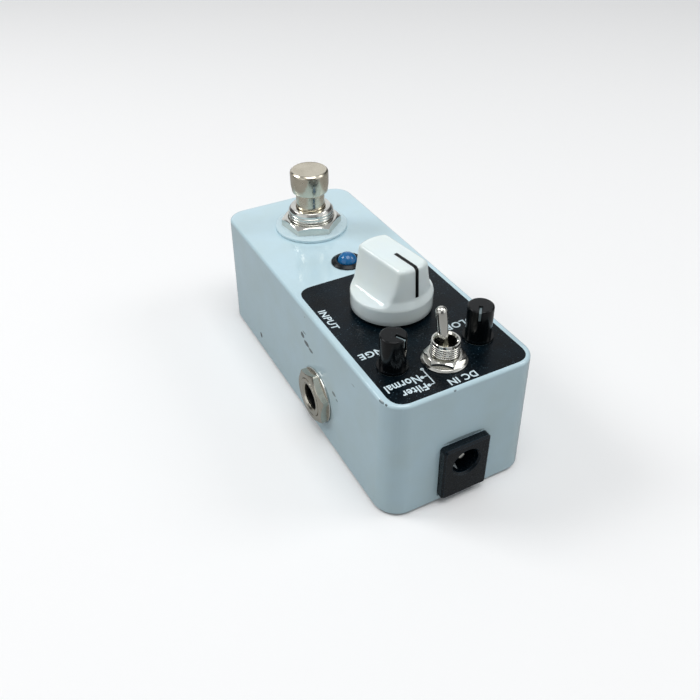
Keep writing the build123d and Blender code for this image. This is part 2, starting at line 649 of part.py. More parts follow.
with BuildPart() as main_knob:
    with BuildSketch(Plane.XZ.offset(-KNOB_Y)):
        with BuildLine():
            Polyline(
                (0, KNOB_BOTTOM_Z),
                (KNOB_SKIRT_R, KNOB_BOTTOM_Z),
                (KNOB_SKIRT_R, TOP_Z + KNOB_SKIRT_RISE),
                (KNOB_WAIST_R, TOP_Z + KNOB_WAIST_RISE),
                (KNOB_TOP_R, TOP_Z + KNOB_TOP_RISE),
                (0, TOP_Z + KNOB_TOP_RISE),
                close=True,
            )
        make_face()
    revolve(axis=KNOB_AXIS)
    fillet(main_knob.edges().filter_by(GeomType.CIRCLE).sort_by(Axis.Z)[-1], KNOB_EDGE_R)
    # A sloping face each side of the axis leaves the grip bar standing across the middle.
    grip_end = knob_plane(0).location * Location((0, KNOB_SKIRT_R, 0), (90, 0, 0))
    with BuildSketch(Plane(grip_end)):
        for side in (-1, 1):
            with BuildLine():
                Polyline(
                    (side * KNOB_BAR_FOOT, TOP_Z + KNOB_SKIRT_RISE + GAP),
                    (side * KNOB_BAR_TOP, TOP_Z + KNOB_TOP_RISE + GAP),
                    (side * 2 * KNOB_SKIRT_R, TOP_Z + KNOB_TOP_RISE + GAP),
                    (side * 2 * KNOB_SKIRT_R, TOP_Z + KNOB_SKIRT_RISE + GAP),
                    close=True,
                )
            make_face()
    extrude(amount=2 * KNOB_SKIRT_R, both=True, mode=Mode.SUBTRACT)
    with BuildSketch(knob_plane(KNOB_BOTTOM_Z)):
        Circle(KNOB_RECESS_R)
    extrude(amount=KNOB_RECESS_RISE - KNOB_GAP, mode=Mode.SUBTRACT)
    with BuildSketch(knob_plane(KNOB_BOTTOM_Z)):
        Circle(KNOB_THROAT_R)
    extrude(amount=KNOB_THROAT_RISE - KNOB_GAP, mode=Mode.SUBTRACT)
    with BuildSketch(knob_plane(KNOB_BOTTOM_Z)):
        Circle(POT_SHAFT_R + GAP / 2)
        with Locations((0, POT_SHAFT_R + POT_FLAT + GAP / 2)):
            Rectangle(2 * POT_SHAFT_R, 2 * POT_SHAFT_R, mode=Mode.SUBTRACT)
    extrude(amount=POT_SHAFT_RISE + GAP - KNOB_GAP, mode=Mode.SUBTRACT)
main_knob.part.label = "main_knob"
export_step(main_knob.part, "parts/main_knob.step")

POT_CAVITY_Z = (BOARD_TOP_Z + FLOOR_T, POT_TOP_Z - POT_PLATE_T)
POT_CAVITY_GAP = 0.2
with BuildPart() as main_pot_body:
    with BuildSketch(Plane.XY.offset(BOARD_TOP_Z)):
        with Locations((0, KNOB_Y)):
            Rectangle(POT_W, POT_L)
    extrude(amount=POT_CAVITY_Z[1] - BOARD_TOP_Z)
    with BuildSketch(Plane.XY.offset(POT_CAVITY_Z[0])):
        with Locations((0, KNOB_Y)):
            Circle(POT_FOOT_R + POT_CAVITY_GAP)
    extrude(amount=POT_CAVITY_Z[1] - POT_CAVITY_Z[0], mode=Mode.SUBTRACT)
main_pot_body.part.label = "main_pot_body"
export_step(main_pot_body.part, "parts/main_pot_body.step")

with BuildPart() as main_pot_bushing:
    with BuildSketch(Plane.XY.offset(POT_CAVITY_Z[1])):
        with Locations((0, KNOB_Y)):
            Rectangle(POT_W, POT_L)
    extrude(amount=POT_PLATE_T)
    with BuildSketch(Plane.XY.offset(POT_CAVITY_Z[1])):
        with Locations((0, KNOB_Y)):
            Circle(POT_BUSH_R)
    extrude(amount=TOP_Z + POT_BUSH_RISE - POT_CAVITY_Z[1])
    with Locations((0, KNOB_Y, POT_TOP_Z)):
        Hole(POT_SHAFT_R + GAP)
main_pot_bushing.part.label = "main_pot_bushing"
export_step(main_pot_bushing.part, "parts/main_pot_bushing.step")

POT_FOOT_Z = POT_CAVITY_Z[1] - GAP - POT_FOOT_T
with BuildPart() as main_pot_shaft:
    with BuildSketch(knob_plane(POT_FOOT_Z)):
        Circle(POT_FOOT_R)
    extrude(amount=POT_FOOT_T)
    with BuildSketch(knob_plane(POT_FOOT_Z)):
        Circle(POT_SHAFT_R)
    extrude(amount=TOP_Z + POT_SHAFT_RISE - POT_FOOT_Z)
    with BuildSketch(knob_plane(TOP_Z + KNOB_THROAT_RISE)):
        with Locations((0, POT_SHAFT_R + POT_FLAT)):
            Rectangle(2 * POT_SHAFT_R, 2 * POT_SHAFT_R)
    extrude(amount=POT_SHAFT_RISE, mode=Mode.SUBTRACT)
main_pot_shaft.part.label = "main_pot_shaft"
export_step(main_pot_shaft.part, "parts/main_pot_shaft.step")

with BuildPart() as main_pot_washer:
    with BuildSketch(Plane.XY.offset(TOP_Z)):
        with Locations((0, KNOB_Y)):
            Circle(POT_WASHER_R)
            Circle(POT_BUSH_R + GAP, mode=Mode.SUBTRACT)
    extrude(amount=POT_WASHER_T)
main_pot_washer.part.label = "main_pot_washer"
export_step(main_pot_washer.part, "parts/main_pot_washer.step")

with BuildPart() as main_pot_nut:
    with BuildSketch(Plane.XY.offset(TOP_Z + POT_WASHER_T)):
        with Locations((0, KNOB_Y)):
            RegularPolygon(POT_NUT_AF / 2, HEX, major_radius=False)
            Circle(POT_BUSH_R + GAP, mode=Mode.SUBTRACT)
    extrude(amount=POT_NUT_T)
main_pot_nut.part.label = "main_pot_nut"
export_step(main_pot_nut.part, "parts/main_pot_nut.step")

# ---------------------------------------------------------------- small potentiometers
TRIM_FOOT_R = 3.8
TRIM_FOOT_T = 1.0
TRIM_ROOF_T = 1.4
TRIM_CAVITY_Z = (BOARD_TOP_Z + FLOOR_T, POT_TOP_Z - TRIM_ROOF_T)
for name, side in (("left", -1), ("right", 1)):
    turn = math.radians(TRIM_TURNS[name])
    pointer = (math.sin(turn), math.cos(turn), 0)
    across = (math.cos(turn), -math.sin(turn), 0)
    axis_x = side * TRIM_X

    with BuildPart() as trim_body:
        with BuildSketch(Plane.XY.offset(BOARD_TOP_Z)):
            with Locations((axis_x, TRIM_Y + (TRIM_BODY_FRONT - TRIM_BODY_BACK) / 2)):
                Rectangle(TRIM_BODY_W, TRIM_BODY_FRONT + TRIM_BODY_BACK)
        extrude(amount=POT_TOP_Z - BOARD_TOP_Z)
        with BuildSketch(Plane.XY.offset(TRIM_CAVITY_Z[0])):
            with Locations((axis_x, TRIM_Y)):
                Circle(TRIM_FOOT_R + POT_CAVITY_GAP)
        extrude(amount=TRIM_CAVITY_Z[1] - TRIM_CAVITY_Z[0], mode=Mode.SUBTRACT)
        with BuildSketch(Plane.XY.offset(TRIM_CAVITY_Z[1])):
            with Locations((axis_x, TRIM_Y)):
                Circle(TRIM_R + GAP)
        extrude(amount=TRIM_ROOF_T, mode=Mode.SUBTRACT)
    trim_body.part.label = f"{name}_pot_body"
    export_step(trim_body.part, f"parts/{name}_pot_body.step")

    with BuildPart() as trim_shaft:
        with BuildSketch(Plane.XY.offset(TRIM_CAVITY_Z[1] - GAP)):
            with Locations((axis_x, TRIM_Y)):
                Circle(TRIM_FOOT_R)
        extrude(amount=-TRIM_FOOT_T)
        with BuildSketch(Plane.XY.offset(TRIM_CAVITY_Z[1] - GAP)):
            with Locations((axis_x, TRIM_Y)):
                Circle(TRIM_R)
        extrude(amount=TOP_Z + TRIM_RISE - TRIM_CAVITY_Z[1] + GAP)
        fillet(trim_shaft.edges().filter_by(GeomType.CIRCLE).sort_by(Axis.Z)[-1], TRIM_EDGE_R)
        with BuildSketch(Plane.XY.offset(TOP_Z + TRIM_FLANGE_GAP)):
            with Locations((axis_x, TRIM_Y)):
                Circle(TRIM_FLANGE_R)
        extrude(amount=TRIM_FLANGE_T)
        # The pointer is a slot cut from the middle of the top to the rim, and down the side.
        top = Plane(origin=(axis_x, TRIM_Y, TOP_Z + TRIM_RISE), x_dir=across, z_dir=(0, 0, 1))
        with BuildSketch(top):
            with Locations((0, TRIM_R)):
                Rectangle(TRIM_SLOT_W, 2 * TRIM_R - TRIM_SLOT_W)
        extrude(amount=-TRIM_SLOT_DEPTH, mode=Mode.SUBTRACT)
        with BuildSketch(top):
            with Locations((0, TRIM_R)):
                Rectangle(TRIM_SLOT_W, 2 * TRIM_SLOT_DEPTH)
        extrude(amount=TRIM_SLOT_RISE - TRIM_RISE, mode=Mode.SUBTRACT)
    trim_shaft.part.label = f"{name}_pot_shaft"
    export_step(trim_shaft.part, f"parts/{name}_pot_shaft.step")

# ---------------------------------------------------------------- toggle switch
TOGGLE_CAVITY = (5.0, 9.0)
TOGGLE_FLOOR_Z = BOARD_TOP_Z + FLOOR_T
with BuildPart() as toggle_body:
    with BuildSketch(Plane.XY.offset(BOARD_TOP_Z)):
        with Locations((0, TOGGLE_Y)):
            Rectangle(TOGGLE_BODY_W, TOGGLE_BODY_L)
    extrude(amount=POT_TOP_Z - BOARD_TOP_Z - TOGGLE_PLATE_T)
    with BuildSketch(Plane.XY.offset(TOGGLE_FLOOR_Z)):
        with Locations((0, TOGGLE_Y)):
            Rectangle(*TOGGLE_CAVITY)
    extrude(amount=POT_TOP_Z - TOGGLE_FLOOR_Z, mode=Mode.SUBTRACT)
toggle_body.part.label = "toggle_body"
export_step(toggle_body.part, "parts/toggle_body.step")

with BuildPart() as toggle_bushing:
    with BuildSketch(Plane.XY.offset(POT_TOP_Z - TOGGLE_PLATE_T)):
        with Locations((0, TOGGLE_Y)):
            Rectangle(TOGGLE_BODY_W, TOGGLE_BODY_L)
    extrude(amount=TOGGLE_PLATE_T)
    with BuildSketch(Plane.XY.offset(POT_TOP_Z - TOGGLE_PLATE_T)):
        with Locations((0, TOGGLE_Y)):
            Circle(TOGGLE_BUSH_R)
    extrude(amount=TOP_Z + TOGGLE_BUSH_RISE - POT_TOP_Z + TOGGLE_PLATE_T)
    with Locations((0, TOGGLE_Y, POT_TOP_Z)):
        Hole(TOGGLE_BORE_R)
    mouth = toggle_bushing.edges().filter_by(GeomType.CIRCLE).group_by(Axis.Z)[-1]
    chamfer(mouth.sort_by(SortBy.RADIUS)[0], MOUTH_CHAMFER)
    with BuildSketch(Plane.XY.offset(POT_TOP_Z)):
        with Locations((0, TOGGLE_Y + TOGGLE_BUSH_R)):
            Rectangle(TOGGLE_KEYWAY_W, 2 * TOGGLE_KEYWAY_DEPTH)
    extrude(amount=TOP_Z + TOGGLE_BUSH_RISE - POT_TOP_Z, mode=Mode.SUBTRACT)
    with Locations(Location((0, TOGGLE_Y, TOGGLE_PIVOT_Z), (0, 90, 0))):
        Cylinder(TOGGLE_PIN_R, 2 * TOGGLE_BUSH_R, mode=Mode.SUBTRACT)
toggle_bushing.part.label = "toggle_bushing"
export_step(toggle_bushing.part, "parts/toggle_bushing.step")

with BuildPart() as toggle_pivot_pin:
    with BuildSketch(Plane.YZ.offset(-TOGGLE_PIN_LEN / 2)):
        with Locations((TOGGLE_Y, TOGGLE_PIVOT_Z)):
            Circle(TOGGLE_PIN_R)
    extrude(amount=TOGGLE_PIN_LEN)
toggle_pivot_pin.part.label = "toggle_pivot_pin"
export_step(toggle_pivot_pin.part, "parts/toggle_pivot_pin.step")

with BuildPart() as toggle_washer:
    with BuildSketch(Plane.XY.offset(TOP_Z)):
        with Locations((0, TOGGLE_Y)):
            Circle(TOGGLE_WASHER_R)
            Circle(TOGGLE_BUSH_R + GAP, mode=Mode.SUBTRACT)
    extrude(amount=TOGGLE_WASHER_T)
    rim = toggle_washer.edges().filter_by(GeomType.CIRCLE).group_by(Axis.Z)[-1]
    chamfer(rim.sort_by(SortBy.RADIUS)[-1], TOGGLE_WASHER_T / 2)
toggle_washer.part.label = "toggle_washer"
export_step(toggle_washer.part, "parts/toggle_washer.step")

TOGGLE_NUT_TURN = 20.0
with BuildPart() as toggle_nut:
    with BuildSketch(Plane.XY.offset(TOP_Z + TOGGLE_WASHER_T)):
        with Locations((0, TOGGLE_Y)):
            RegularPolygon(TOGGLE_NUT_AF / 2, HEX, major_radius=False, rotation=TOGGLE_NUT_TURN)
            Circle(TOGGLE_BUSH_R + GAP, mode=Mode.SUBTRACT)
    extrude(amount=TOGGLE_NUT_T)
toggle_nut.part.label = "toggle_nut"
export_step(toggle_nut.part, "parts/toggle_nut.step")

# The lever is turned about its own axis, which leans towards the foot switch.
lean = math.radians(TOGGLE_LEAN)
lever_up = (0, -math.sin(lean), math.cos(lean))
lever_side = (0, math.cos(lean), math.sin(lean))
lever_plane = Plane(
    origin=(0, TOGGLE_Y, TOGGLE_PIVOT_Z), x_dir=lever_side, z_dir=(1, 0, 0)
)
LEVER_TOP = TOGGLE_TIP_RISE - TOGGLE_PIVOT_RISE
with BuildPart() as toggle_lever:
    with BuildSketch(lever_plane):
        with BuildLine():
            tip = CenterArc((0, LEVER_TOP - TOGGLE_TIP_R), TOGGLE_TIP_R, 0, 90)
            Polyline(
                tip @ 0,
                (TOGGLE_NECK_R, TOGGLE_BALL_R),
                (TOGGLE_NECK_R, -TOGGLE_TAIL),
                (0, -TOGGLE_TAIL),
                tip @ 1,
            )
        make_face()
    revolve(axis=Axis((0, TOGGLE_Y, TOGGLE_PIVOT_Z), lever_up))
    with Locations((0, TOGGLE_Y, TOGGLE_PIVOT_Z)):
        Sphere(TOGGLE_BALL_R)
    with Locations(Location((0, TOGGLE_Y, TOGGLE_PIVOT_Z), (0, 90, 0))):
        Cylinder(TOGGLE_PIN_R + GAP, 2 * TOGGLE_BUSH_R, mode=Mode.SUBTRACT)
toggle_lever.part.label = "toggle_lever"
export_step(toggle_lever.part, "parts/toggle_lever.step")

with BuildPart() as toggle_terminals:
    with BuildSketch(Plane.XY.offset(BOARD_TOP_Z)):
        with Locations(*TOGGLE_PINS):
            Circle(PIN_R)
    extrude(amount=-BOARD_T - PIN_DROP)
toggle_terminals.part.label = "toggle_terminals"
export_step(toggle_terminals.part, "parts/toggle_terminals.step")

# ---------------------------------------------------------------- input and output jacks
JACK_CAVITY = (JACK_W - 2 * JACK_WALL, JACK_H - 2 * JACK_WALL)
JACK_NUT_TURN = 20.0
SPRING_LEAF_T = 0.4
SPRING_LEAF_W = 3.0
LEAF_POINTS = [(11.0, 4.4), (0.0, 4.4), (-5.0, 2.7), (-8.0, 4.0)]  # along the jack, off its axis
for name, (sign, y) in JACK_SIDES.items():
    with BuildPart() as jack_body:
        with BuildSketch(ring_side(name, JACK_BACK_X)):
            Rectangle(JACK_W, JACK_H)
        extrude(amount=JACK_FRONT_X - JACK_BACK_X)
        with BuildSketch(ring_side(name, JACK_BACK_X + JACK_WALL)):
            Rectangle(*JACK_CAVITY)
        extrude(amount=JACK_BUSH_FOOT_X - JACK_BACK_X - JACK_WALL, mode=Mode.SUBTRACT)
        with BuildSketch(ring_side(name, JACK_BUSH_FOOT_X)):
            Circle(JACK_BUSH_R)
        extrude(amount=JACK_FRONT_X - JACK_BUSH_FOOT_X, mode=Mode.SUBTRACT)
    jack_body.part.label = f"{name}_jack_body"
    export_step(jack_body.part, f"parts/{name}_jack_body.step")

    with BuildPart() as jack_bushing:
        with BuildSketch(ring_side(name, JACK_BUSH_FOOT_X)):
            Circle(JACK_BUSH_R)
            Circle(JACK_BORE_R, mode=Mode.SUBTRACT)
        extrude(amount=JACK_FACE_X - JACK_BUSH_FOOT_X)
        outer = jack_bushing.edges().filter_by(GeomType.CIRCLE).group_by(Axis.X)[-1 if sign > 0 else 0]
        chamfer(outer.sort_by(SortBy.RADIUS)[0], MOUTH_CHAMFER)
    jack_bushing.part.label = f"{name}_jack_bushing"
    export_step(jack_bushing.part, f"parts/{name}_jack_bushing.step")

    with BuildPart() as jack_washer:
        with BuildSketch(ring_side(name, JACK_SEAT_X)):
            Circle(JACK_WASHER_R)
            Circle(JACK_BUSH_R + GAP, mode=Mode.SUBTRACT)
        extrude(amount=JACK_WASHER_T)
    jack_washer.part.label = f"{name}_jack_washer"
    export_step(jack_washer.part, f"parts/{name}_jack_washer.step")

    with BuildPart() as jack_nut:
        with BuildSketch(ring_side(name, JACK_SEAT_X + JACK_WASHER_T)):
            RegularPolygon(JACK_NUT_AF / 2, HEX, major_radius=False, rotation=JACK_NUT_TURN)
            Circle(JACK_BUSH_R + GAP, mode=Mode.SUBTRACT)
        extrude(amount=JACK_NUT_T)
    jack_nut.part.label = f"{name}_jack_nut"
    export_step(jack_nut.part, f"parts/{name}_jack_nut.step")

    # Two leaf springs stand in the cavity, above and below a plug's path.
    with BuildPart() as jack_contacts:
        for up in (-1, 1):
            with BuildSketch(Plane.XZ.offset(-y - SPRING_LEAF_W / 2)):
                with BuildLine():
                    Polyline(*[(sign * along, JACK_Z + up * away) for along, away in LEAF_POINTS])
                    offset(amount=SPRING_LEAF_T / 2)
                make_face()
            extrude(amount=SPRING_LEAF_W)
    jack_contacts.part.label = f"{name}_jack_contacts"
    export_step(jack_contacts.part, f"parts/{name}_jack_contacts.step")

    with BuildPart() as jack_terminals:
        with BuildSketch(Plane.XY.offset(JACK_Z + JACK_H / 2)):
            with Locations(*JACK_PINS[name]):
                Circle(PIN_R)
        extrude(amount=BOARD_TOP_Z - GAP - JACK_Z - JACK_H / 2)
    jack_terminals.part.label = f"{name}_jack_terminals"
    export_step(jack_terminals.part, f"parts/{name}_jack_terminals.step")

# ---------------------------------------------------------------- power inlet
with BuildPart() as inlet_body:
    with BuildSketch(Plane.XZ.offset(-INLET_FACE_Y)):
        with Locations((0, sum(INLET_PLATE_Z) / 2)):
            RectangleRounded(INLET_PLATE_W, INLET_PLATE_H, INLET_PLATE_EDGE)
    extrude(amount=INLET_FACE_Y - INLET_SEAT_Y)
    chamfer(inlet_body.faces().sort_by(Axis.Y)[-1].edges(), INLET_PLATE_EDGE / 2)
    with BuildSketch(Plane.XZ.offset(-INLET_SEAT_Y)):
        with Locations((0, sum(INLET_BODY_Z) / 2)):
            Rectangle(INLET_BODY_W, INLET_BODY_H)
    extrude(amount=INLET_SEAT_Y - INLET_BACK_Y)
    with BuildSketch(Plane.XZ.offset(-INLET_FACE_Y)):
        with Locations((0, INLET_Z)):
            Circle(INLET_BORE_R)
    extrude(amount=INLET_BORE_DEPTH, mode=Mode.SUBTRACT)
    mouth = inlet_body.edges().filter_by(GeomType.CIRCLE).group_by(Axis.Y)[-1]
    chamfer(mouth.sort_by(SortBy.RADIUS)[-1], INLET_MOUTH_R - INLET_BORE_R)
    with BuildSketch(Plane.XZ.offset(-INLET_BACK_Y)):
        with Locations((0, INLET_Z)):
            Circle(INLET_PIN_ROOT_R)
    extrude(amount=INLET_BACK_Y - INLET_BORE_END_Y, mode=Mode.SUBTRACT)
inlet_body.part.label = "inlet_body"
export_step(inlet_body.part, "parts/inlet_body.step")

with BuildPart() as inlet_pin:
    with BuildSketch(Plane.XZ.offset(-INLET_BACK_Y)):
        with Locations((0, INLET_Z)):
            Circle(INLET_PIN_ROOT_R)
    extrude(amount=INLET_BACK_Y - INLET_BORE_END_Y)
    with BuildSketch(Plane.XZ.offset(-INLET_BORE_END_Y)):
        with Locations((0, INLET_Z)):
            Circle(INLET_PIN_R)
    extrude(amount=INLET_BORE_END_Y - INLET_PIN_TIP_Y)
    fillet(inlet_pin.faces().sort_by(Axis.Y)[-1].edges(), INLET_PIN_R / 2)
inlet_pin.part.label = "inlet_pin"
export_step(inlet_pin.part, "parts/inlet_pin.step")

# The sleeve contact is a leaf that lies along the low side of the bore, bowed towards the pin.
CONTACT_TURN = -35.0
CONTACT_W = 2.6
CONTACT_T = 0.2
CONTACT_POINTS = [(2.7, 39.0), (2.15, 43.0), (2.7, 47.0)]  # off the bore's axis, along it
contact_dir = (math.cos(math.radians(CONTACT_TURN)), 0, math.sin(math.radians(CONTACT_TURN)))
contact_plane = Plane(
    origin=(0, 0, INLET_Z), x_dir=contact_dir, z_dir=(-contact_dir[2], 0, contact_dir[0])
)
with BuildPart() as inlet_contact:
    with BuildSketch(contact_plane.offset(-CONTACT_W / 2)):
        with BuildLine():
            ThreePointArc(*CONTACT_POINTS)
            offset(amount=CONTACT_T / 2)
        make_face()
    extrude(amount=CONTACT_W)
inlet_contact.part.label = "inlet_contact"
export_step(inlet_contact.part, "parts/inlet_contact.step")

with BuildPart() as inlet_terminals:
    with BuildSketch(Plane.XY.offset(INLET_BODY_Z[1])):
        with Locations(*INLET_PINS):
            Circle(PIN_R)
    extrude(amount=BOARD_TOP_Z - GAP - INLET_BODY_Z[1])
inlet_terminals.part.label = "inlet_terminals"
export_step(inlet_terminals.part, "parts/inlet_terminals.step")
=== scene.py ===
import logging
import math
from dataclasses import dataclass, field
from enum import Enum
from functools import partial
from typing import Callable, Iterable, Sequence

import bmesh
import bpy
from mathutils import Matrix, Vector


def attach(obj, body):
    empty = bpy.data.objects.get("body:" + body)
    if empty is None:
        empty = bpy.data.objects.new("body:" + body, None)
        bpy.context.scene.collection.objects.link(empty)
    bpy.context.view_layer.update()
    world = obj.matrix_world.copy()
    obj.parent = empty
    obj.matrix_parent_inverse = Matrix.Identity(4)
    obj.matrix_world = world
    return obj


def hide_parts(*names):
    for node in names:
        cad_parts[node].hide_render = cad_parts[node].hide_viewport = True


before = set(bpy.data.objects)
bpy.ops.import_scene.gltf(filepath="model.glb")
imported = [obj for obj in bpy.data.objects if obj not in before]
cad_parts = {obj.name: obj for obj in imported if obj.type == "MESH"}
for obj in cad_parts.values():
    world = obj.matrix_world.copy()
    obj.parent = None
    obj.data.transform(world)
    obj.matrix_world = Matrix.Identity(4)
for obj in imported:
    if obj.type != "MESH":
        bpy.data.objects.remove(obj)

logging.basicConfig(level=logging.INFO, format="%(message)s")
LOG = logging.getLogger("scene")

MM = 0.001
TOP = 32.2
BASE = 0.8

Point = tuple[float, float, float]
Profile = list[tuple[float, float]]
Ring = list[Point]


class Body(Enum):
    """The bodies of the frame that pieces ride on."""

    CASE = "case"
    PLUNGER = "footswitch_plunger"
    KNOB = "knob"
    LEFT = "left_pot"
    RIGHT = "right_pot"
    LEVER = "lever"


class Reading(Enum):
    """The direction that a word is read along, as a turn in degrees from +X."""

    ALONG_X = 0.0
    ALONG_Y = 90.0


# ---------------------------------------------------------------- shader graphs


def linear(rgb: Sequence[int]) -> tuple[float, float, float, float]:
    """Turns a display colour into the linear colour that shaders take.

    Args:
        rgb: Red, green and blue from 0 to 255.

    Returns:
        Linear red, green, blue and an alpha of 1.
    """
    parts = [c / 255 for c in rgb]
    curve = [p / 12.92 if p <= 0.04045 else ((p + 0.055) / 1.055) ** 2.4 for p in parts]
    return (curve[0], curve[1], curve[2], 1.0)


class Graph:
    """A short way to write a node tree."""

    def __init__(self, tree: bpy.types.NodeTree) -> None:
        """Wraps a node tree.

        Args:
            tree: The tree that nodes are added to.

        Returns:
            None.
        """
        self.tree = tree

    def add(self, kind: str, inputs: dict | None = None, **settings: object) -> bpy.types.Node:
        """Adds a node, and fills in or links its inputs.

        Args:
            kind: The node's type name.
            inputs: Socket name or index to a value, or to a socket to link from.
            settings: Properties set on the node before its inputs.

        Returns:
            The new node.
        """
        node = self.tree.nodes.new(kind)
        for key, value in settings.items():
            setattr(node, key, value)
        for key, value in (inputs or {}).items():
            if isinstance(value, bpy.types.NodeSocket):
                self.tree.links.new(value, node.inputs[key])
            else:
                node.inputs[key].default_value = value
        return node

    def maths(self, operation: str, *values: object) -> bpy.types.NodeSocket:
        """Adds a Math node.

        Args:
            operation: The node's operation.
            values: Its inputs in order, as numbers or sockets.

        Returns:
            The output socket.
        """
        node = self.add("ShaderNodeMath", dict(enumerate(values)), operation=operation)
        return node.outputs[0]

    def blend(self, factor: object, first: object, second: object) -> bpy.types.NodeSocket:
        """Adds a colour mix.

        Args:
            factor: Share of the second colour, a number or a socket.
            first: The first colour or socket.
            second: The second colour or socket.

        Returns:
            The mixed colour's socket.
        """
        node = self.add("ShaderNodeMix", {0: factor, 6: first, 7: second}, data_type="RGBA")
        return node.outputs[2]


def new_group(name: str, inputs: dict[str, object], outputs: Sequence[str]) -> tuple[Graph, bpy.types.Node]:
    """Makes a shader node group with named inputs and float outputs.

    Args:
        name: The group's name.
        inputs: Input name to its default: a number, or a tuple for a vector.
        outputs: Names of the outputs.

    Returns:
        The group's graph and its input node.
    """
    tree = bpy.data.node_groups.new(name, "ShaderNodeTree")
    for key, default in inputs.items():
        kind = "NodeSocketVector" if isinstance(default, tuple) else "NodeSocketFloat"
        tree.interface.new_socket(key, in_out="INPUT", socket_type=kind).default_value = default
    for key in outputs:
        tree.interface.new_socket(key, in_out="OUTPUT", socket_type="NodeSocketFloat")
    graph = Graph(tree)
    return graph, graph.add("NodeGroupInput")


def grain_group() -> bpy.types.NodeTree:
    """Makes the group for fine unevenness, between two levels.

    Returns:
        The group, with inputs Scale, Detail, Low and High, and output Value.
    """
    graph, given = new_group("grain", {"Scale": 900.0, "Detail": 4.0, "Low": 0.0, "High": 1.0}, ["Value"])
    place = graph.add("ShaderNodeTexCoord").outputs["Object"]
    noise = graph.add(
        "ShaderNodeTexNoise", {"Vector": place, "Scale": given.outputs["Scale"], "Detail": given.outputs["Detail"]}
    )
    level = graph.add(
        "ShaderNodeMapRange",
        {0: noise.outputs[0], 1: 0.3, 2: 0.7, 3: given.outputs["Low"], 4: given.outputs["High"]},
    )
    graph.add("NodeGroupOutput", {"Value": level.outputs[0]})
    return graph.tree


def wear_group() -> bpy.types.NodeTree:
    """Makes the group that marks outer edges as rubbed.

    Returns:
        The group, with inputs Radius, Amount and Scale, and output Mask.
    """
    graph, given = new_group("edge_wear", {"Radius": 0.0004, "Amount": 0.5, "Scale": 1500.0}, ["Mask"])
    place = graph.add("ShaderNodeTexCoord").outputs["Object"]
    soft = graph.add("ShaderNodeBevel", {"Radius": given.outputs["Radius"]}, samples=4)
    flat = graph.add("ShaderNodeNewGeometry").outputs["Normal"]
    dot = graph.add("ShaderNodeVectorMath", {0: soft.outputs[0], 1: flat}, operation="DOT_PRODUCT")
    edge = graph.maths("MULTIPLY", graph.maths("SUBTRACT", 1.0, dot.outputs["Value"]), 14.0)
    noise = graph.add("ShaderNodeTexNoise", {"Vector": place, "Scale": given.outputs["Scale"], "Detail": 5.0})
    rough = graph.maths("MULTIPLY", edge, noise.outputs[0])
    mask = graph.add("ShaderNodeMath", {0: rough, 1: given.outputs["Amount"]}, operation="MULTIPLY", use_clamp=True)
    graph.add("NodeGroupOutput", {"Mask": mask.outputs[0]})
    return graph.tree


def dust_group() -> bpy.types.NodeTree:
    """Makes the group for fine specks on faces that look up.

    Returns:
        The group, with inputs Scale, Share and Amount, and output Mask.
    """
    graph, given = new_group("dust", {"Scale": 2500.0, "Share": 0.2, "Amount": 0.5}, ["Mask"])
    place = graph.add("ShaderNodeTexCoord").outputs["Object"]
    cells = graph.add("ShaderNodeTexVoronoi", {"Vector": place, "Scale": given.outputs["Scale"]})
    near = graph.add("ShaderNodeMapRange", {0: cells.outputs["Distance"], 1: 0.0, 2: 0.35, 3: 1.0, 4: 0.0})
    pick = graph.add("ShaderNodeSeparateXYZ", {0: cells.outputs["Color"]})
    chosen = graph.maths("LESS_THAN", pick.outputs[0], given.outputs["Share"])
    up = graph.add("ShaderNodeSeparateXYZ", {0: graph.add("ShaderNodeNewGeometry").outputs["Normal"]}).outputs[2]
    facing = graph.add("ShaderNodeMapRange", {0: up, 1: 0.1, 2: 0.9, 3: 0.15, 4: 1.0})
    cloud = graph.add("ShaderNodeTexNoise", {"Vector": place, "Scale": 140.0, "Detail": 2.0}).outputs[0]
    clump = graph.add("ShaderNodeMapRange", {0: cloud, 1: 0.42, 2: 0.66, 3: 0.1, 4: 1.0}).outputs[0]
    specks = graph.maths("MULTIPLY", graph.maths("MULTIPLY", near.outputs[0], chosen), clump)
    mask = graph.maths("MULTIPLY", specks, facing.outputs[0])
    graph.add("NodeGroupOutput", {"Mask": graph.maths("MULTIPLY", mask, given.outputs["Amount"])})
    return graph.tree


def mark_group() -> bpy.types.NodeTree:
    """Makes the group for one ragged mark at a place on a surface.

    Returns:
        The group, with inputs Centre, Stretch, Size and Ragged, and output Mask.
    """
    start = {"Centre": (0.0, 0.0, 0.0), "Stretch": (1.0, 1.0, 1.0), "Size": 0.0005, "Ragged": 0.6}
    graph, given = new_group("chip_mark", start, ["Mask"])
    place = graph.add("ShaderNodeTexCoord").outputs["Object"]
    away = graph.add("ShaderNodeVectorMath", {0: place, 1: given.outputs["Centre"]}, operation="SUBTRACT")
    pulled = graph.add(
        "ShaderNodeVectorMath", {0: away.outputs[0], 1: given.outputs["Stretch"]}, operation="DIVIDE"
    )
    length = graph.add("ShaderNodeVectorMath", {0: pulled.outputs[0]}, operation="LENGTH").outputs["Value"]
    ratio = graph.maths("DIVIDE", length, given.outputs["Size"])
    noise = graph.add("ShaderNodeTexNoise", {"Vector": place, "Scale": 3200.0, "Detail": 4.0}).outputs[0]
    ragged = graph.maths("MULTIPLY", graph.maths("SUBTRACT", noise, 0.5), given.outputs["Ragged"])
    edge = graph.maths("ADD", ratio, ragged)
    mask = graph.add("ShaderNodeMapRange", {0: edge, 1: 0.75, 2: 1.05, 3: 1.0, 4: 0.0})
    graph.add("NodeGroupOutput", {"Mask": mask.outputs[0]})
    return graph.tree


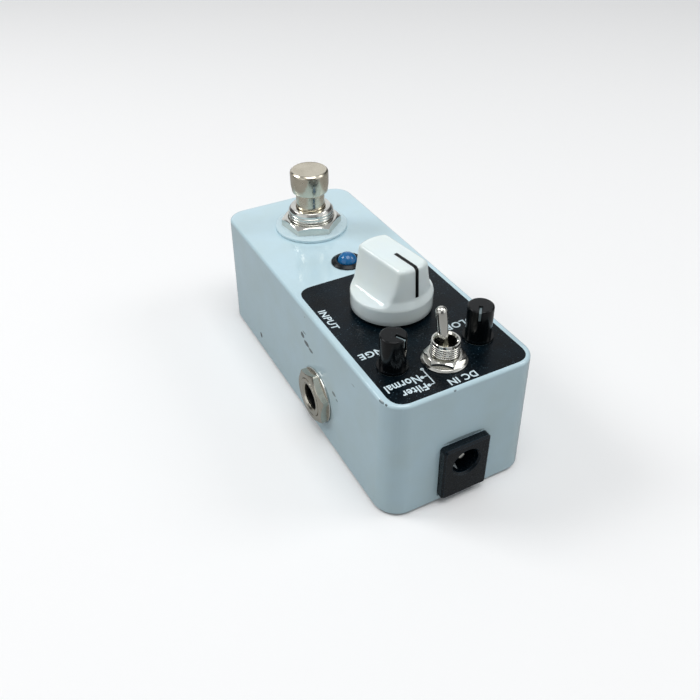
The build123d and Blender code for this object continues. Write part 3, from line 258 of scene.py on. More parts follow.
@dataclass(frozen=True)
class Mark:
    """One scuff or chip in the enamel, in millimetres.

    Attributes:
        at: Centre of the mark.
        size: Its radius.
        stretch: How far it is drawn out along each axis.
        strength: How dark it is, from 0 to 1.
    """

    at: Point
    size: float
    stretch: Point = (1.0, 1.0, 1.0)
    strength: float = 0.85


@dataclass(frozen=True)
class Finish:
    """What one kind of surface looks like.

    Attributes:
        name: The material's name.
        colour: Display colour, 0 to 255.
        second: The colour that it drifts to in patches.
        rough: Lowest and highest roughness.
        metallic: 0 for a plain surface, 1 for metal.
        scale: Size of the grain, in cells for each metre.
        bump: Height of the grain, in metres.
        coat: Share of a clear coat.
        clear: Share of light that passes through.
        milky: Share of light scattered below the surface.
        worn: How much bare edge shows.
        bare: Colour of a rubbed edge.
        dusty: How strong the specks are.
        speck: Colour of the specks.
        lift: Specular level.
        marks: Scuffs and chips.
    """

    name: str
    colour: tuple[int, int, int]
    second: tuple[int, int, int]
    rough: tuple[float, float] = (0.3, 0.4)
    metallic: float = 0.0
    scale: float = 900.0
    bump: float = 0.0
    coat: float = 0.0
    clear: float = 0.0
    milky: float = 0.0
    worn: float = 0.0
    bare: tuple[int, int, int] = (200, 198, 190)
    dusty: float = 0.0
    speck: tuple[int, int, int] = (150, 160, 165)
    lift: float = 0.5
    marks: tuple[Mark, ...] = ()


class Paintbox:
    """Builds each finish once, from the shared node groups."""

    def __init__(self) -> None:
        """Makes the shared groups.

        Returns:
            None.
        """
        self.grain = grain_group()
        self.wear = wear_group()
        self.dust = dust_group()
        self.mark = mark_group()
        self.made: dict[str, bpy.types.Material] = {}

    def mixed(self, graph: Graph, finish: Finish) -> bpy.types.NodeSocket:
        """Builds a finish's colour, with its patches, specks and marks.

        Args:
            graph: The material's graph.
            finish: The finish.

        Returns:
            The colour's socket.
        """
        drift = graph.add("ShaderNodeGroup", node_tree=self.grain)
        drift.inputs["Scale"].default_value = finish.scale / 6
        colour = graph.blend(drift.outputs[0], linear(finish.colour), linear(finish.second))
        if finish.dusty:
            dust = graph.add("ShaderNodeGroup", node_tree=self.dust)
            dust.inputs["Amount"].default_value = finish.dusty
            colour = graph.blend(dust.outputs[0], colour, linear(finish.speck))
        for mark in finish.marks:
            spot = graph.add("ShaderNodeGroup", node_tree=self.mark)
            spot.inputs["Centre"].default_value = [c * MM for c in mark.at]
            spot.inputs["Stretch"].default_value = mark.stretch
            spot.inputs["Size"].default_value = mark.size * MM
            share = graph.maths("MULTIPLY", spot.outputs[0], mark.strength)
            colour = graph.blend(share, colour, linear((34, 42, 44)))
        return colour

    def get(self, finish: Finish) -> bpy.types.Material:
        """Gives the material of a finish.

        Args:
            finish: The finish.

        Returns:
            Its material, made at the first call.
        """
        if finish.name in self.made:
            return self.made[finish.name]
        material = bpy.data.materials.new(finish.name)
        material.use_nodes = True
        material.node_tree.nodes.clear()
        graph = Graph(material.node_tree)
        colour = self.mixed(graph, finish)
        grain = graph.add("ShaderNodeGroup", node_tree=self.grain)
        for key, value in (("Scale", finish.scale), ("Low", finish.rough[0]), ("High", finish.rough[1])):
            grain.inputs[key].default_value = value
        rough = grain.outputs[0]
        surface = graph.add("ShaderNodeBsdfPrincipled")
        if finish.worn:
            wear = graph.add("ShaderNodeGroup", node_tree=self.wear)
            wear.inputs["Amount"].default_value = finish.worn
            colour = graph.blend(wear.outputs[0], colour, linear(finish.bare))
        if finish.bump:
            height = graph.add("ShaderNodeGroup", node_tree=self.grain)
            height.inputs["Scale"].default_value = finish.scale
            bump = graph.add("ShaderNodeBump", {"Height": height.outputs[0], "Distance": finish.bump})
            graph.tree.links.new(bump.outputs[0], surface.inputs["Normal"])
        graph.tree.links.new(colour, surface.inputs["Base Color"])
        graph.tree.links.new(rough, surface.inputs["Roughness"])
        for key, value in (
            ("Metallic", finish.metallic),
            ("Coat Weight", finish.coat),
            ("Coat Roughness", 0.04),
            ("Transmission Weight", finish.clear),
            ("Subsurface Weight", finish.milky),
            ("Subsurface Radius", (0.002, 0.002, 0.002)),
            ("Subsurface Scale", 0.6),
            ("Specular IOR Level", finish.lift),
        ):
            surface.inputs[key].default_value = value
        graph.add("ShaderNodeOutputMaterial", {"Surface": surface.outputs[0]})
        self.made[finish.name] = material
        return material


ENAMEL_MARKS = (
    Mark((19.0, -24.0, 4.7), 0.8, (1, 1.0, 1.2)),
    Mark((18.57, 4.8, 23.9), 0.8, (1, 1.3, 1.0)),
    Mark((18.6, 7.0, 22.7), 0.85, (1, 1.8, 0.8)),
    Mark((18.6, 9.3, 22.2), 0.7, (1, 1.8, 0.7), 0.75),
    Mark((18.6, 5.8, 25.2), 0.5, (1, 2.0, 0.5), 0.6),
    Mark((18.4, 6.4, 30.1), 0.22, (1, 1, 1), 0.5),
    Mark((18.6, 21.3, 18.0), 0.6, (1, 1.8, 0.9), 0.6),
    Mark((18.6, 22.8, 17.2), 0.4, (1, 1.6, 0.8), 0.5),
    Mark((18.5, 30.5, 27.6), 0.3, (1, 2.6, 0.5), 0.4),
    Mark((0.0, 46.3, 17.5), 0.42, (13, 1, 1.3), 0.6),
    Mark((18.1, 41.9, 31.9), 0.5, (1, 1.9, 0.6), 0.7),
    Mark((17.9, 43.2, 32.0), 0.4, (1, 1.2, 1)),
    Mark((16.6, 45.4, 32.1), 0.35),
    Mark((3.3, 46.2, 31.9), 0.4, (1.3, 1, 1), 0.7),
)
ENAMEL = Finish(
    "pale_enamel", (197, 224, 235), (194, 219, 226), (0.1, 0.2), scale=700, bump=0.000004, coat=0.25,
    dusty=0.16, speck=(126, 140, 144), marks=ENAMEL_MARKS,
)
PANEL = Finish("black_print", (3, 10, 15), (6, 21, 30), (0.22, 0.36), scale=1600, dusty=0.9,
               speck=(96, 124, 138), lift=0.16)
WORD = Finish("pale_print", (226, 242, 248), (208, 228, 236), (0.4, 0.5))
BRIGHT = Finish("bright_nickel", (222, 221, 214), (204, 203, 197), (0.08, 0.18), 1.0, worn=0.4, bare=(240, 240, 236))
LEAF = Finish("leaf_silver", (186, 196, 198), (166, 176, 178), (0.4, 0.55), 0.5)
WORN_CAP = Finish("worn_cap", (214, 206, 188), (192, 184, 166), (0.14, 0.3), 1.0, scale=1100, bump=0.000003, worn=0.8,
                  bare=(236, 234, 226))
NYLON = Finish("white_nylon", (206, 229, 237), (200, 223, 231), (0.26, 0.36), milky=0.4)
KNOB_WHITE = Finish("white_knob", (230, 243, 247), (232, 242, 238), (0.1, 0.17), scale=500, milky=0.5, coat=0.3)
INK = Finish("black_ink", (4, 6, 8), (8, 10, 12), (0.25, 0.35), lift=0.2)
GLOSS_BLACK = Finish("gloss_black", (2, 5, 7), (4, 8, 11), (0.12, 0.22), dusty=0.25, lift=0.28)
# Grey that paints reflections and glints on the small knobs: the strip in each slot (which also stands for a pale
# line there) and the ring at each foot.
PAINTED_GLINT_GREY = Finish("slot_white", (138, 154, 158), (96, 110, 114), (0.4, 0.5), scale=4000)
BLACK_PLASTIC = Finish("black_plastic", (3, 11, 17), (6, 17, 24), (0.2, 0.32), scale=1500, worn=0.35,
                       bare=(40, 62, 78), dusty=0.15, lift=0.28)
BEZEL = Finish("bezel_black_finish", (2, 9, 14), (5, 14, 20), (0.2, 0.3), lift=0.25)
LED_BLUE = Finish("blue_lens", (8, 88, 150), (18, 122, 186), (0.09, 0.13), scale=600, clear=0.15, lift=0.7)
JACK_FACE = Finish("sanded_face", (208, 204, 192), (194, 189, 175), (0.16, 0.26), 1.0, scale=900)
STEEL = Finish("screw_steel_finish", (158, 160, 160), (128, 130, 130), (0.25, 0.4), 1.0, worn=0.6)
PLATE = Finish("brushed_plate", (172, 176, 178), (150, 154, 158), (0.32, 0.46), 1.0, scale=900, bump=0.000005)
RUBBER = Finish("pad_rubber_finish", (30, 32, 33), (40, 42, 43), (0.7, 0.85), scale=2200, bump=0.00003)

SLOT_FINISHES: dict[str, Finish] = {
    "board_green": Finish("solder_mask", (16, 84, 52), (12, 66, 42), (0.25, 0.4), coat=0.3),
    "chip_black": Finish("chip_resin", (24, 25, 27), (36, 37, 39), (0.5, 0.65)),
    "can_alu": Finish("can_aluminium", (190, 192, 195), (170, 172, 176), (0.2, 0.32), 1.0),
    "switch_blue": Finish("switch_resin", (26, 70, 150), (20, 56, 126), (0.35, 0.45)),
    "solder_pin": Finish("tinned_pin", (186, 186, 182), (160, 160, 158), (0.22, 0.35), 1.0),
    "spring_steel": Finish("spring_wire", (150, 150, 148), (120, 120, 120), (0.2, 0.3), 1.0),
    "pot_case": Finish("pot_case_finish", (60, 66, 72), (48, 53, 58), (0.4, 0.5)),
    "ribbon_grey": Finish("ribbon_finish", (150, 152, 156), (132, 134, 138), (0.45, 0.55)),
    "jack_black": Finish("jack_resin", (22, 24, 26), (32, 34, 36), (0.4, 0.5)),
    "contact_brass": Finish("contact_brass_finish", (202, 170, 96), (176, 144, 78), (0.2, 0.32), 1.0),
    "nylon_white": NYLON,
    "nickel": BRIGHT,
    "plate_metal": PLATE,
    "shell_paint": ENAMEL,
    "screw_steel": STEEL,
    "pad_rubber": RUBBER,
    "bezel_black": BEZEL,
    "led_blue": LED_BLUE,
    "cap_nickel": WORN_CAP,
    "knob_white": KNOB_WHITE,
    "knob_black": GLOSS_BLACK,
    "inlet_black": BLACK_PLASTIC,
}


# ---------------------------------------------------------------- mesh making


def rounded(points: Profile, radius: float, steps: int = 4, closed: bool = False) -> Profile:
    """Rounds the corners of a polyline.

    Args:
        points: The corners.
        radius: Wanted radius, cut down where a side is too short for it.
        steps: Points in each arc, less one.
        closed: Whether the last point joins the first.

    Returns:
        The polyline with its corners rounded.
    """
    count = len(points)
    result: Profile = []
    for i, corner in enumerate(points):
        if not closed and i in (0, count - 1):
            result.append(corner)
            continue
        here = Vector(corner)
        before = Vector(points[i - 1]) - here
        after = Vector(points[(i + 1) % count]) - here
        half = before.angle(after) / 2
        if half > math.radians(85):
            result.append(corner)
            continue
        reach = min(radius / math.tan(half), 0.46 * before.length, 0.46 * after.length)
        start = here + before.normalized() * reach
        end = here + after.normalized() * reach
        for k in range(steps + 1):
            t = k / steps
            spot = start * (1 - t) ** 2 + here * 2 * t * (1 - t) + end * t**2
            result.append((spot.x, spot.y))
    return result


def axis_matrix(origin: Point, direction: Point = (0.0, 0.0, 1.0)) -> Matrix:
    """Gives the matrix that stands a lathe's axis at a place.

    Args:
        origin: Where the axis starts, in millimetres.
        direction: Where it points.

    Returns:
        The matrix, in metres.
    """
    turn = Vector(direction).to_track_quat("Z", "Y").to_matrix().to_4x4()
    return Matrix.Translation(Vector(origin) * MM) @ turn @ Matrix.Scale(MM, 4)


def loft(rings: Sequence[Ring], closed: bool = False, sharp: float = 38.0) -> bpy.types.Mesh:
    """Joins rings of points into a skin.

    Args:
        rings: Rings with equal counts; a ring of one point is a pole.
        closed: Whether the last ring joins the first.
        sharp: Angle in degrees over which an edge stays sharp.

    Returns:
        The mesh, with its normals outward.
    """
    work = bmesh.new()
    made = [[work.verts.new(p) for p in ring] for ring in rings]
    pairs = list(zip(made, made[1:])) + ([(made[-1], made[0])] if closed else [])
    for low, high in pairs:
        count = max(len(low), len(high))
        for i in range(count):
            j = (i + 1) % count
            corners = [low[i % len(low)], low[j % len(low)], high[j % len(high)], high[i % len(high)]]
            unique = list(dict.fromkeys(corners))
            if len(unique) > 2:
                work.faces.new(unique)
    return tidy_mesh(work, sharp)


def tidy_mesh(work: bmesh.types.BMesh, sharp: float = 38.0) -> bpy.types.Mesh:
    """Merges doubles, turns normals outward and marks sharp edges.

    Args:
        work: The mesh being edited, which is freed.
        sharp: Angle in degrees over which an edge stays sharp.

    Returns:
        The finished mesh.
    """
    bmesh.ops.remove_doubles(work, verts=work.verts, dist=1e-7)
    bmesh.ops.dissolve_degenerate(work, edges=work.edges, dist=1e-9)
    bmesh.ops.recalc_face_normals(work, faces=work.faces)
    for face in work.faces:
        face.smooth = True
    for edge in work.edges:
        edge.smooth = len(edge.link_faces) == 2 and edge.calc_face_angle(0.0) < math.radians(sharp)
    mesh = bpy.data.meshes.new("skin")
    work.to_mesh(mesh)
    work.free()
    return mesh


def circle(radius: float, height: float, count: int) -> Ring:
    """Gives a level ring of points.

    Args:
        radius: The radius; 0 gives one point.
        height: The ring's height.
        count: How many points.

    Returns:
        The ring.
    """
    if radius <= 0:
        return [(0.0, 0.0, height)]
    angles = [2 * math.pi * i / count for i in range(count)]
    return [(radius * math.cos(a), radius * math.sin(a), height) for a in angles]


def ring_round(
    angles: Sequence[float], radius: Callable[[float], float], height: Callable[[float], float]
) -> Ring:
    """Gives a ring whose radius and height follow the angle.

    Args:
        angles: The angles in radians.
        radius: Radius at an angle.
        height: Height at an angle.

    Returns:
        The ring.
    """
    return [(radius(a) * math.cos(a), radius(a) * math.sin(a), height(a)) for a in angles]


def lathe(profile: Profile, matrix: Matrix, count: int = 96, closed: bool = False) -> bpy.types.Mesh:
    """Turns a profile about an axis.

    Args:
        profile: Radius and height of each point.
        matrix: Places the axis, and scales to metres.
        count: Points round the axis.
        closed: Whether the profile is a closed loop.

    Returns:
        The mesh.
    """
    mesh = loft([circle(r, z, count) for r, z in profile], closed)
    mesh.transform(matrix)
    return mesh


@dataclass
class HexNut:
    """A hex nut with a chamfered face and a plain bore, in millimetres.

    Attributes:
        flats: Distance across the flats.
        bore: Radius of the bore.
        thick: Thickness.
        turn: Direction of one corner in degrees.
        soft: Radius of the upright corners.
    """

    flats: float
    bore: float
    thick: float
    turn: float = 0.0
    soft: float = 0.25

    def outline(self, angle: float, inset: float = 0.0) -> float:
        """Gives the nut's radius at an angle.

        Args:
            angle: The angle in radians.
            inset: How far inside the flats.

        Returns:
            The radius.
        """
        flat = self.flats / 2 - inset
        sixth = math.pi / 3
        off = (angle - math.radians(self.turn)) % sixth - sixth / 2
        straight = flat / math.cos(off)
        corner = flat / math.cos(sixth / 2) - self.soft * 0.155
        return min(straight, corner)

    def mesh(self, matrix: Matrix, count: int = 144) -> bpy.types.Mesh:
        """Builds the nut.

        Args:
            matrix: Places the nut's lower face.
            count: Points round it.

        Returns:
            The mesh.
        """
        face = self.flats / 2 - 0.15
        angles = [2 * math.pi * i / count for i in range(count)]
        ring = partial(ring_round, angles)

        def drop(angle: float) -> float:
            """Gives the depth of the chamfer at an angle.

            Args:
                angle: The angle in radians.

            Returns:
                The depth.
            """
            return 0.05 + max(0.0, self.outline(angle) - face) * 0.62

        rings = [
            ring(lambda a: self.bore, lambda a: 0.0),
            ring(lambda a: self.outline(a, 0.04), lambda a: 0.0),
            ring(self.outline, lambda a: 0.03),
            ring(self.outline, lambda a: self.thick - drop(a)),
            ring(lambda a: min(self.outline(a), face + 0.04), lambda a: self.thick - 0.03),
            ring(lambda a: face - 0.06, lambda a: self.thick),
            ring(lambda a: self.bore + 0.25, lambda a: self.thick),
            ring(lambda a: self.bore, lambda a: self.thick - 0.25),
        ]
        mesh = loft(rings, closed=True, sharp=24)
        mesh.transform(matrix)
        return mesh


def merged_copy(node: str, sharp: float = 32.0) -> bpy.types.Mesh:
    """Copies a CAD node's loose triangles into one joined skin.

    Args:
        node: The node's name.
        sharp: Angle in degrees over which an edge stays sharp.

    Returns:
        The mesh.
    """
    work = bmesh.new()
    work.from_mesh(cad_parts[node].data)
    bmesh.ops.remove_doubles(work, verts=work.verts, dist=2e-6)
    bmesh.ops.dissolve_limit(work, angle_limit=math.radians(0.4), verts=work.verts, edges=work.edges)
    mesh = tidy_mesh(work, sharp)
    mesh.materials.clear()
    return mesh


def add_object(name: str, data: bpy.types.ID) -> bpy.types.Object:
    """Makes an object and puts it in the scene.

    Args:
        name: Its name.
        data: Its mesh, curve, lamp or camera.

    Returns:
        The object.
    """
    thing = bpy.data.objects.new(name, data)
    bpy.context.scene.collection.objects.link(thing)
    return thing


def evaluated(carrier: bpy.types.Object) -> bpy.types.Mesh:
    """Turns an object into a plain mesh, and removes the object.

    Args:
        carrier: The object.

    Returns:
        Its mesh, with its modifiers applied.
    """
    graph = bpy.context.evaluated_depsgraph_get()
    mesh = bpy.data.meshes.new_from_object(carrier.evaluated_get(graph), depsgraph=graph)
    bpy.data.objects.remove(carrier)
    return mesh


class Workshop:
    """Turns meshes into pieces that ride on the frame."""

    def __init__(self, paints: Paintbox) -> None:
        """Keeps the paints.

        Args:
            paints: Where finishes come from.

        Returns:
            None.
        """
        self.paints = paints

    def piece(
        self, name: str, mesh: bpy.types.Mesh, finish: Finish, body: Body, slot: str,
        replaces: Iterable[str] = (), weighted: bool = False,
    ) -> bpy.types.Object:
        """Makes one piece.

        Args:
            name: The piece's name.
            mesh: Its mesh, in place.
            finish: Its finish.
            body: The body that it rides on.
            slot: The record's material slot; not used.
            replaces: CAD nodes that it stands for.
            weighted: Whether its large flat faces steer the shading.

        Returns:
            The piece.
        """
        mesh.name = name
        mesh.materials.clear()
        mesh.materials.append(self.paints.get(finish))
        thing = add_object(name, mesh)
        if weighted:
            steer = thing.modifiers.new("weighted", "WEIGHTED_NORMAL")
            steer.keep_sharp = True
            steer.mode = "FACE_AREA"
        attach(thing, body.value)
        if replaces:
            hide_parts(*replaces)
        LOG.info("piece %s: %d faces", name, len(mesh.polygons))
        return thing

    def grown(self, name: str, tree: bpy.types.NodeTree, values: dict[str, object]) -> bpy.types.Mesh:
        """Evaluates a Geometry Nodes recipe into a plain mesh.

        Args:
            name: A name for the carrier.
            tree: The recipe.
            values: Input name to value.

        Returns:
            The mesh that it makes.
        """
        carrier = add_object(name, bpy.data.meshes.new(name))
        grow = carrier.modifiers.new("grow", "NODES")
        grow.node_group = tree
        for item in tree.interface.items_tree:
            if item.item_type == "SOCKET" and item.in_out == "INPUT" and item.name in values:
                grow[item.identifier] = values[item.name]
        return evaluated(carrier)

    def thread(self, name: str, foot: Point, radius: float, turns: float, height: float, ridge: float) -> None:
        """Makes a bright screw thread on the case, in millimetres.

        Args:
            name: The piece's name.
            foot: Where the thread starts, on its axis.
            radius: Radius of the ridge's middle.
            turns: How many times it goes round.
            height: How far it climbs.
            ridge: Radius of the ridge itself.

        Returns:
            None.
        """
        values = {"Radius": radius * MM, "Turns": turns, "Height": height * MM, "Ridge": ridge * MM,
                  "Material": self.paints.get(BRIGHT)}
        coil = self.grown(name + "_coil", thread_recipe(), values)
        coil.transform(Matrix.Translation(Vector(foot) * MM))
        self.piece(name, coil, BRIGHT, Body.CASE, "nickel")


# ---------------------------------------------------------------- geometry recipes


def recipe(name: str, inputs: dict[str, tuple[str, object]]) -> tuple[Graph, bpy.types.Node]:
    """Starts a Geometry Nodes recipe with named inputs.

    Args:
        name: The recipe's name.
        inputs: Input name to its socket type and default.

    Returns:
        The graph and its input node.
    """
    tree = bpy.data.node_groups.new(name, "GeometryNodeTree")
    tree.interface.new_socket("Geometry", in_out="OUTPUT", socket_type="NodeSocketGeometry")
    for key, (kind, default) in inputs.items():
        socket = tree.interface.new_socket(key, in_out="INPUT", socket_type=kind)
        if default is not None:
            socket.default_value = default
    graph = Graph(tree)
    return graph, graph.add("NodeGroupInput")


def finish_recipe(graph: Graph, shape: bpy.types.NodeSocket, material: bpy.types.NodeSocket) -> bpy.types.NodeTree:
    """Ends a recipe with real geometry and its material.

    Args:
        graph: The recipe's graph.
        shape: The geometry.
        material: The material input.

    Returns:
        The recipe.
    """
    real = graph.add("GeometryNodeRealizeInstances", {0: shape})
    smooth = graph.add("GeometryNodeSetShadeSmooth", {0: real.outputs[0]})
    painted = graph.add("GeometryNodeSetMaterial", {"Geometry": smooth.outputs[0], "Material": material})
    graph.add("NodeGroupOutput", {0: painted.outputs[0]})
    return graph.tree


def thread_recipe() -> bpy.types.NodeTree:
    """Makes the recipe for a screw thread: a ridge that climbs round a barrel.

    Returns:
        The recipe, with inputs Radius, Turns, Height, Ridge and Material.
    """
    graph, given = recipe(
        "thread",
        {
            "Radius": ("NodeSocketFloat", 0.006),
            "Turns": ("NodeSocketFloat", 4.0),
            "Height": ("NodeSocketFloat", 0.003),
            "Ridge": ("NodeSocketFloat", 0.0002),
            "Material": ("NodeSocketMaterial", None),
        },
    )
    out = given.outputs
    coil = graph.add(
        "GeometryNodeCurveSpiral",
        {"Resolution": 72, "Rotations": out["Turns"], "Start Radius": out["Radius"],
         "End Radius": out["Radius"], "Height": out["Height"]},
    )
    upright = graph.add("GeometryNodeSetCurveNormal", {0: coil.outputs[0]}, mode="Z_UP")
    ridge = graph.add("GeometryNodeCurvePrimitiveCircle", {"Resolution": 8, "Radius": out["Ridge"]})
    skin = graph.add(
        "GeometryNodeCurveToMesh", {"Curve": upright.outputs[0], "Profile Curve": ridge.outputs[0], "Fill Caps": True}
    )
    return finish_recipe(graph, skin.outputs[0], out["Material"])


def grid_recipe() -> bpy.types.NodeTree:
    """Makes the recipe that sets one thing at the four corners of a rectangle.

    Returns:
        The recipe, with inputs Thing, Width, Length and Material.
    """
    graph, given = recipe(
        "four_corners",
        {
            "Thing": ("NodeSocketObject", None),
            "Width": ("NodeSocketFloat", 0.0288),
            "Length": ("NodeSocketFloat", 0.084),
            "Material": ("NodeSocketMaterial", None),
        },
    )
    out = given.outputs
    grid = graph.add(
        "GeometryNodeMeshGrid", {"Size X": out["Width"], "Size Y": out["Length"], "Vertices X": 2, "Vertices Y": 2}
    )
    thing = graph.add("GeometryNodeObjectInfo", {"Object": out["Thing"]})
    placed = graph.add(
        "GeometryNodeInstanceOnPoints", {"Points": grid.outputs[0], "Instance": thing.outputs["Geometry"]}
    )
    return finish_recipe(graph, placed.outputs[0], out["Material"])


# ---------------------------------------------------------------- sub-assemblies


@dataclass
class Case:
    """The enamelled case, its base plate, screws and pad.

    Attributes:
        screw_x: Distance between screws across the case.
        screw_y: Distance between screws along it.
        head: Radius of a screw's head.
        shank: Radius of its shank.
        cross: Length and width of the screw's cross.
    """

    shop: Workshop
    screw_x: float = 28.8
    screw_y: float = 84.0
    head: float = 2.7
    shank: float = 1.5
    cross: tuple[float, float] = (3.0, 0.6)

    def build(self) -> None:
        """Builds the case.

        Returns:
            None.
        """
        shop = self.shop
        shop.piece("case_enamel", merged_copy("enclosure_shell", 40), ENAMEL, Body.CASE, "shell_paint",
                   ["enclosure_shell"], weighted=True)
        shop.piece("case_base_plate", merged_copy("base_plate"), PLATE, Body.CASE, "plate_metal",
                   ["base_plate"], weighted=True)
        shop.piece("case_pad", self.pad(), RUBBER, Body.CASE, "pad_rubber", ["rubber_pad"])
        self.screws()

    def pad(self) -> bpy.types.Mesh:
        """Builds the rubber pad with a softened lower edge and shallow ribs.

        Returns:
            The mesh.
        """
        def outline(inset: float, height: float) -> Ring:
            """Gives the pad's outline at a height.

            Args:
                inset: How far inside the full outline.
                height: The height.

            Returns:
                The ring.
            """
            corners = [(15.5 - inset, 38 - inset), (-15.5 + inset, 38 - inset),
                       (-15.5 + inset, -38 + inset), (15.5 - inset, -38 + inset)]
            return [(x, y, height) for x, y in rounded(corners, 4 - inset, 10, True)]

        rings = [outline(8.0, BASE), outline(0.0, BASE), outline(0.0, 0.25), outline(0.08, 0.08), outline(0.25, 0.0)]
        for k in range(6):
            inset = 1.2 + 1.1 * k
            rings += [outline(inset, 0.0), outline(inset + 0.1, 0.12), outline(inset + 0.4, 0.12),
                      outline(inset + 0.5, 0.0)]
        rings.append([(0.0, 0.0, 0.0)])
        rings.insert(0, [(0.0, 0.0, BASE)])
        mesh = loft(rings)
        mesh.transform(Matrix.Scale(MM, 4))
        return mesh

    def screws(self) -> None:
        """Builds the four countersunk screws from one.

        Returns:
            None.
        """
        half_long, half_wide = self.cross[0] / 2, self.cross[1] / 2
        inner = math.atan2(half_wide, half_long)
        angles: list[float] = []
        for quarter in range(4):
            turn = quarter * math.pi / 2
            steps = (0, inner, inner * 2, math.pi / 4, math.pi / 2 - 2 * inner, math.pi / 2 - inner)
            angles += [turn + a for a in steps]

        def across(angle: float, shrink: float) -> float:
            """Gives the cross recess's radius at an angle.

            Args:
                angle: The angle in radians.
                shrink: How far inside the full recess.

            Returns:
                The radius.
            """
            c, s = abs(math.cos(angle)), abs(math.sin(angle))
            long_way, wide_way = half_long - shrink, half_wide - shrink / 2
            return max(
                min(long_way / max(c, 1e-6), wide_way / max(s, 1e-6)),
                min(long_way / max(s, 1e-6), wide_way / max(c, 1e-6)),
            )

        recess = [(0.2, 0.9), (0.0, 0.05), (-0.08, 0.0)]
        body = [(self.head - 0.12, 0.0), (self.head, 0.1), (self.shank, 1.4), (self.shank, 9.0), (0.9, 9.9)]
        rings = [[(0, 0, BASE + 0.95)]]
        rings += [ring_round(angles, lambda a: across(a, shrink), lambda a: BASE + z) for shrink, z in recess]
        rings += [ring_round(angles, lambda a: radius, lambda a: BASE + z) for radius, z in body]
        rings.append([(0, 0, BASE + 9.95)])
        mesh = loft(rings, sharp=25)
        mesh.transform(Matrix.Scale(MM, 4))
        single = add_object("one_screw", mesh)
        steel = self.shop.paints.get(STEEL)
        values = {"Thing": single, "Width": self.screw_x * MM, "Length": self.screw_y * MM, "Material": steel}
        four = self.shop.grown("screws", grid_recipe(), values)
        bpy.data.objects.remove(single)
        self.shop.piece("case_screws", four, STEEL, Body.CASE, "screw_steel", ["base_screws"])


